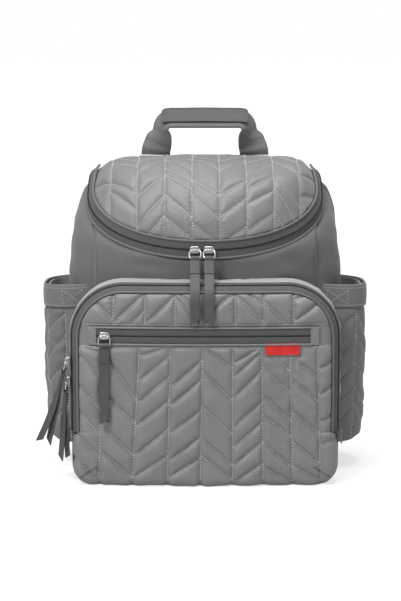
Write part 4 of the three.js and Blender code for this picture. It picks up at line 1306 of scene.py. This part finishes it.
def side_pocket(side, sign, seed):
    levels = pchip(SIDE_LEVELS[:, 0], SIDE_LEVELS, np.linspace(33, 214, 96))
    columns = 90
    wall = np.array([even(side_plan(z, reach), columns) for z, reach in levels])
    heading = np.arctan2(wall[0, :, 1] - RING_CENTRE_Y, wall[0, :, 0])
    inner = body_edge(heading, 33)
    inner[:, 2] = 31
    floor = [inner + (wall[0] - (0, 0, 1.5) - inner) * t for t in (0.0, 0.25, 0.5, 0.75, 0.95)]
    grid = np.concatenate([floor, wall])
    if sign < 0:
        grid = (grid * (-1, 1, 1))[:, ::-1]
    out = normals(grid)
    height = grid[..., 2]
    share = np.linspace(0, 1, columns)[None, :]
    free = smoothstep(0, 0.12, share) * smoothstep(0, 0.12, 1 - share) * smoothstep(33, 60, height)
    below_hem = smoothstep(196, 180, height)
    relief = 0.9 * drift(grid, 60, seed) * below_hem
    relief += 0.9 * creases(grid, seed + 2, 30, 26, 5) * below_hem
    run = np.linalg.norm(np.diff(wall[48], axis=0), axis=1).sum() * np.linspace(0, 1, columns)
    pattern = np.stack(np.broadcast_arrays(run[None, :], height), axis=-1)
    uprights = np.arange(12, run[-1], 31.0)
    lines = [((u, 36), (u, 189)) for u in uprights]
    for column, (left, right) in enumerate(zip(uprights[:-1], uprights[1:])):
        climb = 28 if column % 3 == 0 else -28
        lines += [
            ((left, low + 4 * np.sin(low)), (right, low + climb + 4 * np.cos(low)))
            for low in np.arange(44, 184, 27.0)
            if 36 < low + climb < 188
        ]
    relief += quilting(pattern, lines, seed + 5, height=2.6) * below_hem - 1.2
    sag = 1.8 * np.sin(np.pi * share) * smoothstep(150, 214, height)
    surface = grid + out * (relief * free)[..., None]
    surface[..., 2] -= sag * 1.5
    wall_piece = shell(f"side_wall_{side}", surface, 2.4, QUILT_DARK, LINING)
    place(wall_piece, "bag", f"side_pocket_{side}", fill=0.3)
    wall_map = Surface(pattern, surface, normals(surface))
    runs = thread_runs(wall_map, [list(line) for line in lines])
    place(stitched(f"side_wall_stitching_{side}", runs, THREAD), "bag")
    hem_levels = np.linspace(190, 214, 22)
    hem = np.array([even(side_plan(z, 185, 1.2), columns) for z in hem_levels])
    if sign < 0:
        hem = (hem * (-1, 1, 1))[:, ::-1]
    hem_out = normals(hem)
    bulge = np.sin(np.pi * np.linspace(0, 1, 22))[:, None]
    gathers = np.cos(np.linspace(0, 64, columns) + 3 * drift(hem, 40, seed + 4)) * 0.25
    hem = hem + hem_out * (0.5 * bulge + gathers * bulge)[..., None]
    hem[..., 2] -= 2.7 * np.sin(np.pi * share)
    place(shell(f"side_hem_{side}", hem, 1.3, QUILT_DARK), "bag", f"side_pocket_hem_{side}")
    rim = hem[-1] - hem_out[-1] * 1.6 + (0, 0, 0.4)
    place(tube(f"side_rim_{side}", rim, 1.5, QUILT_DARK), "bag")
    seams = []
    for row in (2, 19):
        seams.append((hem[row], hem_out[row]))
    front_end = slice(3, 17) if sign > 0 else slice(columns - 17, columns - 3)
    patch = hem[3:19, front_end]
    patch_out = hem_out[3:19, front_end]
    steps = np.linspace(0, 13, 14).astype(int)
    climb = np.linspace(0, 15, 14).astype(int)
    for order in (climb, climb[::-1]):
        seams.append((patch[order, steps], patch_out[order, steps]))
    for column in (0, 13):
        seams.append((patch[:, column], patch_out[:, column]))
    place(stitched(f"side_hem_stitching_{side}", seams, THREAD, length=2.1, radius=0.27), "bag")


side_pocket("right", 1, 101)
side_pocket("left", -1, 131)

# ---------------------------------------------------------------- carry handle

FOLD_Z, GRIP_Z = 354, 397
GRIP_TILT = np.radians(32)
GRIP_ACROSS = np.array((0, -np.cos(GRIP_TILT), -np.sin(GRIP_TILT)))
HANDLE_CORNER = 13


def handle_line():
    """The strap's middle from its left fold over the grip to its right fold, and its width's
    direction, which twists from facing forwards to facing up."""
    corner_z = GRIP_Z - HANDLE_CORNER
    rise = np.linspace(0, 1, 26)
    lean = 6 * smoothstep(0, 1, rise)
    leg = np.stack([lean - 58, FOLD_Z + 0.6 + (corner_z - FOLD_Z - 0.6) * rise], axis=-1)
    turn = np.linspace(0, np.pi / 2, 24)[1:]
    corner = np.stack([-52 + HANDLE_CORNER * (1 - np.cos(turn)),
                       corner_z + HANDLE_CORNER * np.sin(turn)], axis=-1)
    top = np.stack([np.linspace(-39, 0, 30)[1:], np.full(29, float(GRIP_Z))], axis=-1)
    left = np.vstack([leg, corner, top])
    path = np.vstack([left, left[-2::-1] * (-1, 1)])
    path = even(path, 190)
    twist = np.clip((path[:, 1] - FOLD_Z) / (GRIP_Z - FOLD_Z), 0, 1)[:, None]
    centre = np.stack([path[:, 0], 63.2 + 0.8 * twist[:, 0], path[:, 1]], axis=-1)
    ahead = unit(np.gradient(centre, axis=0))
    inward = np.stack([ahead[:, 2], 0 * ahead[:, 1], -ahead[:, 0]], axis=-1)
    across = (1 - twist) * inward + twist * GRIP_ACROSS
    across = unit(across - ahead * (across * ahead).sum(axis=-1, keepdims=True))
    return centre, across, ahead


handle_centre, handle_across, handle_ahead = handle_line()
handle_up = unit(np.cross(handle_across, handle_ahead))
leg_share = np.clip((GRIP_Z - 6 - handle_centre[:, 2]) / 30, 0, 1)
ruck = 0.9 * leg_share * (
    np.sin(handle_centre[:, 2] / 2.1 + np.sin(handle_centre[:, 0] / 9)) * 0.5
    + drift(handle_centre, 9, 14)
)
handle_middle = handle_centre + handle_up * ruck[:, None] * 0.5
handle_width = 34 + 3 * np.exp(-(((handle_centre[:, 2] - 386) / 14) ** 2))
handle_strap = strap("handle_strap_cloth", handle_middle, handle_across, handle_width, 3.2, TWILL,
                     power=4.5, count=28)
place(handle_strap, "handle", "handle_strap", fill=0.5)
edge_seams = []
for side in (-1, 1):
    for face in (-1, 1):
        reach = side * (handle_width / 2 - 2.6)[:, None]
        line = handle_middle + handle_across * reach + handle_up * face * 1.55
        edge_seams.append((line, handle_up * face))
place(stitched("handle_stitching", edge_seams, DARK_THREAD, length=2.4, radius=0.26), "handle")
GRIP_HALF = 51
GRIP_SET_BACK = 3  # the pad lies towards the back of the strap
grip_x = np.linspace(-GRIP_HALF, GRIP_HALF, 90)
grip_width = 28 - 8 * np.clip((np.abs(grip_x) - GRIP_HALF + 4) / 4, 0, 1) ** 2.4
grip_droop = 1.6 * np.clip((np.abs(grip_x) - 38) / (GRIP_HALF - 38), 0, 1) ** 2
grip_line = np.stack([grip_x, np.full(90, 64.0), GRIP_Z - grip_droop], axis=-1)
grip_line = grip_line - GRIP_ACROSS * GRIP_SET_BACK
grip_up = unit(np.cross(GRIP_ACROSS, (1, 0, 0)))
low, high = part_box("handle_grip")
facing = 1 if (np.array(low) + np.array(high))[2] / MM / 2 > GRIP_Z else -1
grip_out = grip_up * (1 if grip_up[2] * facing > 0 else -1)
grip_line = grip_line + grip_out * (3.3 + 0.2 * np.cos(grip_x / 12))[:, None]
grip = strap("grip_leather_pad", grip_line, GRIP_ACROSS, grip_width, 1.9, GRIP_LEATHER, power=6)
place(grip, "handle", "handle_grip")
grip_seams = []
for side in (-1, 1):
    line = grip_line + GRIP_ACROSS * side * (grip_width / 2 - 2.4)[:, None] + grip_out * 0.95
    grip_seams.append((line[4:-4], np.tile(grip_out, (82, 1))))
for end in (-1, 1):
    edge = np.linspace(-1, 1, 20)[:, None] * GRIP_ACROSS * 9
    line = edge + grip_line[4 if end < 0 else -5] + grip_out * 0.95
    grip_seams.append((line, np.tile(grip_out, (20, 1))))
place(stitched("grip_stitching", grip_seams, DARK_THREAD, length=2.6, radius=0.3), "handle")


def back_patch(name, x, y, low_z, high_z, width, thick, look, body="bag", nodes=()):
    """A flat patch sewn to the back, with a box and a cross of stitching."""
    z = np.linspace(low_z, high_z, 26)
    centre = np.stack([np.full(26, float(x)), np.full(26, float(y)), z], axis=-1)
    patch = strap(name, centre, (1, 0, 0), width, thick, look, power=7, count=28)
    place(patch, body, *nodes)
    inset = 3.2
    a, b = x - width / 2 + inset, x + width / 2 - inset
    c, d = low_z + inset, high_z - inset
    face = y + thick / 2
    corners = [(a, c), (b, c), (b, d), (a, d)]
    pairs = list(zip(corners, corners[1:] + corners[:1])) + [((a, c), (b, d)), ((b, c), (a, d))]
    seams = []
    for start, stop in pairs:
        spots = densify([start, stop])
        line = np.stack([spots[:, 0], np.full(len(spots), face), spots[:, 1]], axis=-1)
        seams.append((line, np.tile((0.0, 1.0, 0.0), (len(spots), 1))))
    place(stitched(f"{name}_stitching", seams, DARK_THREAD, length=2.3, radius=0.28), body)


for side, sign in (("left", -1), ("right", 1)):
    back_patch(f"handle_foot_{side}", sign * 58, 62.9, 318, 353.6, 34, 3.2, TWILL,
               nodes=[f"handle_anchor_{side}"])


# ---------------------------------------------------------------- shoulder straps

for side, sign in (("left", -1), ("right", 1)):
    t = np.linspace(0, 1, 110)
    x = sign * 62
    y = 64 + 8 * t + 10 * np.sin(np.pi * t)
    z = 314 - 202 * t
    width = 62 - 26 * t**3
    path = np.stack([np.full(110, float(x)), y, z], axis=-1)
    quilted = 9.4 - 1.6 * np.exp(-((((t * 5.0) % 1) - 0.5) / 0.07) ** 2)
    ends = np.clip(np.minimum(t, 1 - t) / 0.03, 0.25, 1) ** 0.5
    pad = strap(f"shoulder_pad_{side}", path, (1, 0, 0), width - 1.5, quilted * ends, TWILL,
                power=3.2, count=36)
    place(pad, "bag", f"shoulder_strap_{side}", fill=0.6)
    out = unit(np.cross((1, 0, 0), np.gradient(path, axis=0)))
    out = out * np.sign(out[:, 1:2])
    seams = []
    for edge in (-1, 1):
        rim = path + np.array((1.0, 0, 0)) * (edge * (width / 2 - 0.6))[:, None]
        binding = tube(f"strap_binding_{side}_{'in' if edge * sign < 0 else 'out'}", rim, 1.9,
                       WEBBING, sides=10)
        place(binding, "bag")
    for level in (0.1, 0.3, 0.5, 0.7, 0.9):
        k = int(level * 109)
        span = np.linspace(-1, 1, 30)[:, None] * np.array((1.0, 0, 0)) * (width[k] / 2 - 4)
        line = path[k] + span + out[k] * (quilted[k] / 2 - 0.05)
        seams.append((line, np.tile(out[k], (30, 1))))
    place(stitched(f"strap_stitching_{side}", seams, DARK_THREAD, length=2.4, radius=0.3), "bag")
    s = np.linspace(0, 1, 50)
    web = np.stack([np.full(50, float(x)), 71 - 6.5 * s + np.sin(np.pi * s), 78 - 44 * s], axis=-1)
    place(strap(f"webbing_{side}", web, (1, 0, 0), 25, 1.8, WEBBING, power=7, count=24), "bag",
          f"strap_webbing_{side}")
    back_patch(f"strap_foot_{side}", x, 59.5, 24, 50, 34, 2.4, TWILL,
               nodes=[f"strap_anchor_{side}"])
    stub = np.stack([np.full(20, float(x)), np.linspace(72.2, 72.2, 20),
                     np.linspace(113, 104, 20)], axis=-1)
    place(strap(f"strap_loop_{side}", stub, (1, 0, 0), 25, 2.0, WEBBING, power=7), "bag")
    bars = []
    for level in (2, 11, 20, 28):
        run = np.linspace(-15.5, 15.5, 24)
        y_bar = 72.2 + 0.0 * run
        bars.append(tube(f"bar_{side}_{level}", np.stack([x + run, y_bar, 79 + level + 0 * run],
                                                         axis=-1), 1.75, PLASTIC, sides=12))
    for edge in (-1, 1):
        run = np.linspace(1.4, 28.6, 24)
        bars.append(tube(f"rail_{side}_{edge}", np.stack([x + edge * 15.2 + 0 * run, 72.2 + 0 * run,
                                                          79 + run], axis=-1), 1.9, PLASTIC, sides=12))
    place(join(f"ladder_lock_frame_{side}", bars), "bag", f"ladder_lock_{side}")


# ---------------------------------------------------------------- linings, base and board

lining_rows = ring_rows(BODY_RINGS, 90, 0.03, 0.985)
lining_grid = ring_grid(lining_rows, full_turn, next_turn, 201, inset=5.3)[:, :-1]
lining_grid = lining_grid - normals(lining_grid, closed=True) * (
    0.7 + 0.6 * drift(lining_grid, 50, 201)
)[..., None]
floor_rows = []
for share in (0.02, 0.3, 0.6, 0.85, 0.97):
    ring = lining_rows[0].copy()
    ring[:3] = ring[:3] * share + np.array((0, RING_CENTRE_Y, RING_CENTRE_Y)) * (1 - share)
    ring[3:] = 5.4
    floor_rows.append(ring)
floor_grid = ring_grid(floor_rows, full_turn, next_turn, 201, inset=0)[:, :-1]
lining_all = np.concatenate([floor_grid, lining_grid])
main_lining = shell("main_lining_cloth", lining_all[:, ::-1], 0.5, LINING, closed=True)
place(main_lining, "bag", "main_lining")

lid_lining_grid = ring_grid(lid_rows(50), full_turn, next_turn, 201, inset=5.6)[:, :-1]
lid_lining_grid[..., 2] -= np.linspace(0, 5.6, 50)[:, None]
lid_lining = shell("lid_lining_cloth", lid_lining_grid[:-2][:, ::-1], 0.5, LINING, closed=True,
                   cap=True)
place(lid_lining, "lid", "lid_lining")

pouch_x = np.linspace(-115.5, 111.5, 90)
pouch_z = np.linspace(78.5, 181, 44)
pouch = np.stack(np.meshgrid(pouch_x, pouch_z), axis=-1)
pouch_y = RIM_Y + 2.6 + POCKET_SAG * (pouch[..., 0] / 150) ** 2
pouch_y = pouch_y - 0.5 * drift(np.dstack([pouch, 0 * pouch[..., :1]]), 34, 9)
pouch_grid = np.stack([pouch[..., 0], pouch_y, pouch[..., 1]], axis=-1)
slip_pouch = shell("slip_pouch_cloth", pouch_grid[:, ::-1], 1.2, LINING)
place(slip_pouch, "front_flap", "slip_pouch_lining")

base_rows = []
for share, height in ((1.0, 5.0), (1.008, 3.2), (0.995, 1.4), (0.975, 0.5), (0.9, 0.25), (0.75, 0.2),
                      (0.5, 0.2), (0.25, 0.2), (0.01, 0.2)):
    ring = BODY_RINGS[0].copy()
    ring[:3] = pchip(BODY_RINGS[:2, 3], BODY_RINGS[:2, :3], np.array([height]))[0]
    ring[:3] = ring[:3] * share + np.array((0, RING_CENTRE_Y, RING_CENTRE_Y)) * (1 - share)
    ring[3:] = height
    base_rows.append(ring)
base_grid = ring_grid(np.array(base_rows), full_turn, next_turn, 241)[:, :-1]
base = shell("base_cloth", base_grid[::-1], 1.6, TWILL, LINING, closed=True)
place(base, "bag", "base_panel")
foot_ring = outline(pchip(BODY_RINGS[:2, 3], BODY_RINGS[:2], np.array([5.2]))[0],
                    np.linspace(full_turn(0), next_turn(0), 400)[:-1])
place(tube("base_piping", even(foot_ring, 360)[:-1], 1.3, CORD_CLOTH, closed=True), "bag")

board = bpy.data.objects.get("base_board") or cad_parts["base_board"]
board.data.materials.clear()
board.data.materials.append(BOARD)


# ---------------------------------------------------------------- sliders and pulls

RING_HALF_WIDE, RING_HALF_HIGH, WIRE = 6.4, 5.0, 0.9
STRIP_WIDE, LAYER, HOLE = 10.4, 1.3, 1.6
PIVOT = 4.2
OVER_POCKET = [(18, 34), (14, 42), (12, 38), (12, 18), (12, 6), (8, 2)]
PULLS = {
    "main_left": ((-11.1, -83, 260), 0, "bag", 35, OVER_POCKET, -8),
    "main_right": ((4.5, -83, 260), 0, "bag", 35, OVER_POCKET, 8),
    "slip": ((-110, -114.6, 169.5), -5, "front_flap", 2, [(20, 2), (30, 2), (35, 1)], -6),
    "flap_upper": ((-149.4, -101, 139), -90, "bag", 15, [(18, 14), (20, 14), (22, 16), (25, 18)], -6),
    "flap_lower": ((-149.4, -101, 117), -90, "bag", 4, [(18, 4), (25, 1), (35, 0)], 6),
}


# How far each pull's outer and inner layers stand apart at their ends, and their roll in degrees
SPREAD = {
    "main_left": (0.4, 0.3, 0),
    "main_right": (0.4, 0.3, 0),
    "slip": (0, 0, 0),
    "flap_upper": (5, 4.5, 38),
    "flap_lower": (4.5, 2.5, 34),
}


def spun(points, degrees, origin):
    """Points made facing -Y round the origin, turned about Z and moved to their place."""
    turn = np.radians(degrees)
    spin = np.array([[np.cos(turn), -np.sin(turn), 0], [np.sin(turn), np.cos(turn), 0], [0, 0, 1]])
    return points @ spin.T + np.array(origin)


def slider_body(name, origin, degrees, upright):
    """A cast slider: two shaped plates joined by a post, and an arched bridge."""
    long_way = np.array((0, 0, 1.0)) if upright else np.array((1.0, 0, 0))
    wide_way = np.cross((0, -1.0, 0), long_way)
    out = np.array((0, -1.0, 0))
    t = np.linspace(-1, 1, 26)
    half_wide = 4.1 - 1.6 * np.clip(t, 0, 1) ** 3 - 0.8 * np.clip(-t - 0.6, 0, 1)
    plates = []
    for level, thick, scale in ((0.55, 1.1, 1.0), (2.15, 1.2, 0.95)):
        sections = []
        for share, wide in zip(t, half_wide):
            section = rounded(2 * wide * scale, thick, 20, 3.5)
            end = np.sqrt(np.clip(1 - abs(share) ** 8, 0.02, 1))
            point = long_way * share * 6.0 * scale + out * level
            sections.append(point + section[:, :1] * end * wide_way + section[:, 1:] * out)
        plates.append(loft(f"{name}_plate_{level}", spun(np.array(sections).reshape(-1, 3), degrees,
                           origin).reshape(26, 20, 3), CHROME, sharp=50))
    post = [out * level + long_way * 2.5 for level in np.linspace(0.5, 2.2, 5)]
    plates.append(tube(f"{name}_post", spun(np.array(post), degrees, origin), 1.3, CHROME, sides=12))
    turn = np.linspace(0, np.pi, 26)
    arch = (long_way * 3.0 * np.cos(turn)[:, None]
            + out * (2.3 + 3.1 * np.sin(turn)[:, None] ** 0.6))
    bridge = strap(f"{name}_bridge", spun(arch, degrees, origin),
                   spun(wide_way[None], degrees, (0, 0, 0))[0], 2.5, 1.1, CHROME, power=3, count=18)
    plates.append(bridge)
    return join(f"{name}_slider_body", plates)


def heading(lean):
    turn = np.radians(lean)
    return np.array((0, -np.sin(turn), -np.cos(turn)))


def facing_out(lean):
    turn = np.radians(lean)
    return np.array((0, -np.cos(turn), np.sin(turn)))


def pull_path(ring_lean, strip):
    """The leather's middle line below the ring, as a smooth bend, with its outward side."""
    start = heading(ring_lean) * 2 * RING_HALF_HIGH
    knots, leans, run = [start], [strip[0][1]], [0.0]
    for length, lean in strip:
        knots.append(knots[-1] + heading(lean) * length)
        leans.append(lean)
        run.append(run[-1] + length)
    at = np.linspace(0, run[-1], 60)
    line = pchip(run, np.array(knots), at)
    bent = unit(np.gradient(line, axis=0))
    out = unit(np.stack([0 * at, bent[:, 2], -bent[:, 1]], axis=-1))
    out = out * np.where(out[:, 1:2] > 0, -1, 1)
    return line, out, at


def leather_layer(name, line, out, offset, origin, degrees, slant, trim=0.0, splay=0.0, roll=0.0):
    """One of a pull's two layers, rolled about its length and cut off at a slant."""
    count = len(line)
    share = np.linspace(0, 1, count)
    wide = np.array((1.0, 0, 0))
    rolled = np.radians(roll) * smoothstep(0, 0.5, share)[:, None]
    across = wide * np.cos(rolled) - out * np.sin(rolled)
    face = out * np.cos(rolled) + wide * np.sin(rolled)
    middle = line + face * offset + out * (splay * share**2)[:, None]
    ahead = unit(np.gradient(middle, axis=0))
    sections = []
    for i in range(count):
        section = rounded(STRIP_WIDE + 0.3, LAYER - 0.08, 22, 6)
        skew = np.zeros(22)
        if i >= count - 8:
            skew = section[:, 0] / STRIP_WIDE * slant * (i - count + 9) / 8
        point = middle[i] + section[:, :1] * across[i] + section[:, 1:] * face[i]
        sections.append(point + (skew[:, None] - trim * float(i == count - 1)) * ahead[i])
    placed = spun(np.array(sections).reshape(-1, 3), degrees, origin).reshape(count, 22, 3)
    return loft(name, placed, LEATHER, sharp=50)


def ring_wire(name, origin, degrees, lean):
    turn = np.linspace(0, 2 * np.pi, 72, endpoint=False)
    power = lambda value: np.sign(value) * np.abs(value) ** (2 / 3.6)
    down = heading(lean)
    path = (
        down * RING_HALF_HIGH * (1 - power(np.cos(turn)))[:, None]
        + np.array((1.0, 0, 0)) * RING_HALF_WIDE * power(np.sin(turn))[:, None]
    )
    return tube(name, spun(even(path, 96)[:-1], degrees, origin), WIRE, CHROME, closed=True, sides=12)


for name, (at, degrees, parent, ring_lean, strip, slant) in PULLS.items():
    body, pull_body = f"{name}_slider_body", f"{name}_pull_body"
    place(slider_body(name, at, degrees, degrees == -90), body, f"{name}_slider")
    pivot = spun(np.array([(0, -PIVOT, 0)]), degrees, at)[0]
    place(ring_wire(f"{name}_ring_wire", pivot, degrees, ring_lean), pull_body, f"{name}_ring")
    line, out, run = pull_path(ring_lean, strip)
    first = strip[0][1]
    start = line[0]
    fold = np.linspace(-0.42 * np.pi, 1.42 * np.pi, 30)
    loop_line = (
        start
        + np.outer(np.sin(fold), -heading(first)) * (HOLE + LAYER / 2)
        + np.outer(np.cos(fold), facing_out(first)) * (HOLE + LAYER / 2)
    )
    loop = strap(f"{name}_fold", spun(loop_line, degrees, pivot),
                 spun(np.array([(1.0, 0, 0)]), degrees, (0, 0, 0))[0], STRIP_WIDE - 0.6, LAYER - 0.1,
                 LEATHER, power=6, count=20)
    below = run > 1.6
    outward, inward, roll = SPREAD[name]
    layers = [
        leather_layer(f"{name}_front", line[below], out[below], LAYER / 2, pivot, degrees, slant,
                      splay=outward, roll=roll),
        leather_layer(f"{name}_back", line[below], out[below], -LAYER / 2, pivot, degrees, -slant,
                      trim=3.0, splay=-inward, roll=roll),
        loop,
    ]
    place(join(f"{name}_leather", layers), pull_body, f"{name}_pull")
    collar_run = np.linspace(5, 19, 16)
    collar_mid = np.array([start + heading(first) * d for d in collar_run])
    collar = strap(f"{name}_collar", spun(collar_mid, degrees, pivot),
                   spun(np.array([(1.0, 0, 0)]), degrees, (0, 0, 0))[0], 12.2, 4.5, LEATHER,
                   power=6, count=28)
    place(collar, pull_body)
    marks = []
    for distance in (9.0, 15.0):
        for shift in (-1, 1):
            span = np.linspace(0, 2.4, 4)[:, None] * np.array((1.0, 0, 0)) + (shift * 1.6 - 1.2, 0, 0)
            spot = span + start + heading(first) * distance + facing_out(first) * 2.3
            marks.append((spun(spot, degrees, pivot),
                          np.tile(spun(facing_out(first)[None], degrees, (0, 0, 0))[0], (4, 1))))
    place(stitched(f"{name}_collar_stitches", marks, DARK_THREAD, length=1.6, gap=0.4, radius=0.28),
          pull_body)


# ---------------------------------------------------------------- floor, light and camera


def stage_material():
    """White studio paper that glows a little, as on a lit table."""
    material, tree, output = new_material("studio_paper")
    where = node(tree, "ShaderNodeTexCoord").outputs["Object"]
    cloudy = noise(tree, where, 3.0, 2.0)
    colour = blend_colours(tree, cloudy, (0.56, 0.56, 0.56, 1), (0.58, 0.58, 0.58, 1))
    seen = node(tree, "ShaderNodeLightPath").outputs["Is Camera Ray"]
    away = node(tree, "ShaderNodeVectorMath", {0: where}, operation="LENGTH").outputs["Value"]
    far = ranged(tree, away, 1.0, 1.5, 0.7, 3.0)
    shader = node(
        tree,
        "ShaderNodeBsdfPrincipled",
        {
            "Base Color": colour,
            "Roughness": 0.9,
            "Emission Color": (1, 1, 1, 1),
            "Emission Strength": sum_of(tree, "MULTIPLY", ranged(tree, seen, 0.05, 0.66), far),
        },
    )
    tree.links.new(shader.outputs[0], output.inputs[0])
    return material


bpy.ops.mesh.primitive_plane_add(size=60)
floor = bpy.context.object
floor.name = "studio_floor"
floor.data.materials.append(stage_material())


def soft_light(name, location, target, size, power):
    light = bpy.data.lights.new(name, "AREA")
    light.shape = "RECTANGLE"
    light.size, light.size_y = size
    light.energy = power
    lamp = bpy.data.objects.new(name, light)
    lamp.location = location
    lamp.rotation_euler = (Vector(target) - Vector(location)).to_track_quat("-Z", "Y").to_euler()
    bpy.context.scene.collection.objects.link(lamp)
    return lamp


soft_light("key", (-1.1, -1.5, 2.1), (0, 0, 0.2), (0.7, 0.7), 40)
soft_light("top", (0.1, -0.1, 2.2), (0, 0, 0.2), (1.2, 1.2), 25)
soft_light("fill", (2.0, -2.0, 0.9), (0, 0, 0.2), (1.2, 1.2), 5)

world = bpy.data.worlds.new("studio")
world.use_nodes = True
backdrop = world.node_tree.nodes["Background"]
backdrop.inputs["Color"].default_value = (1, 1, 1, 1)
seen = node(world.node_tree, "ShaderNodeLightPath").outputs["Is Camera Ray"]
world.node_tree.links.new(ranged(world.node_tree, seen, 0.25, 1.0), backdrop.inputs["Strength"])
bpy.context.scene.world = world
bpy.context.scene.view_settings.view_transform = "Standard"

camera = bpy.data.objects.new("camera", bpy.data.cameras.new("camera"))
camera.location = (-0.0052, -1.9327, 0.4965)
camera.rotation_euler = (np.radians(81), 0, 0)
camera.data.lens = 101.2
camera.data.sensor_width = 36
bpy.context.scene.collection.objects.link(camera)
bpy.context.scene.camera = camera
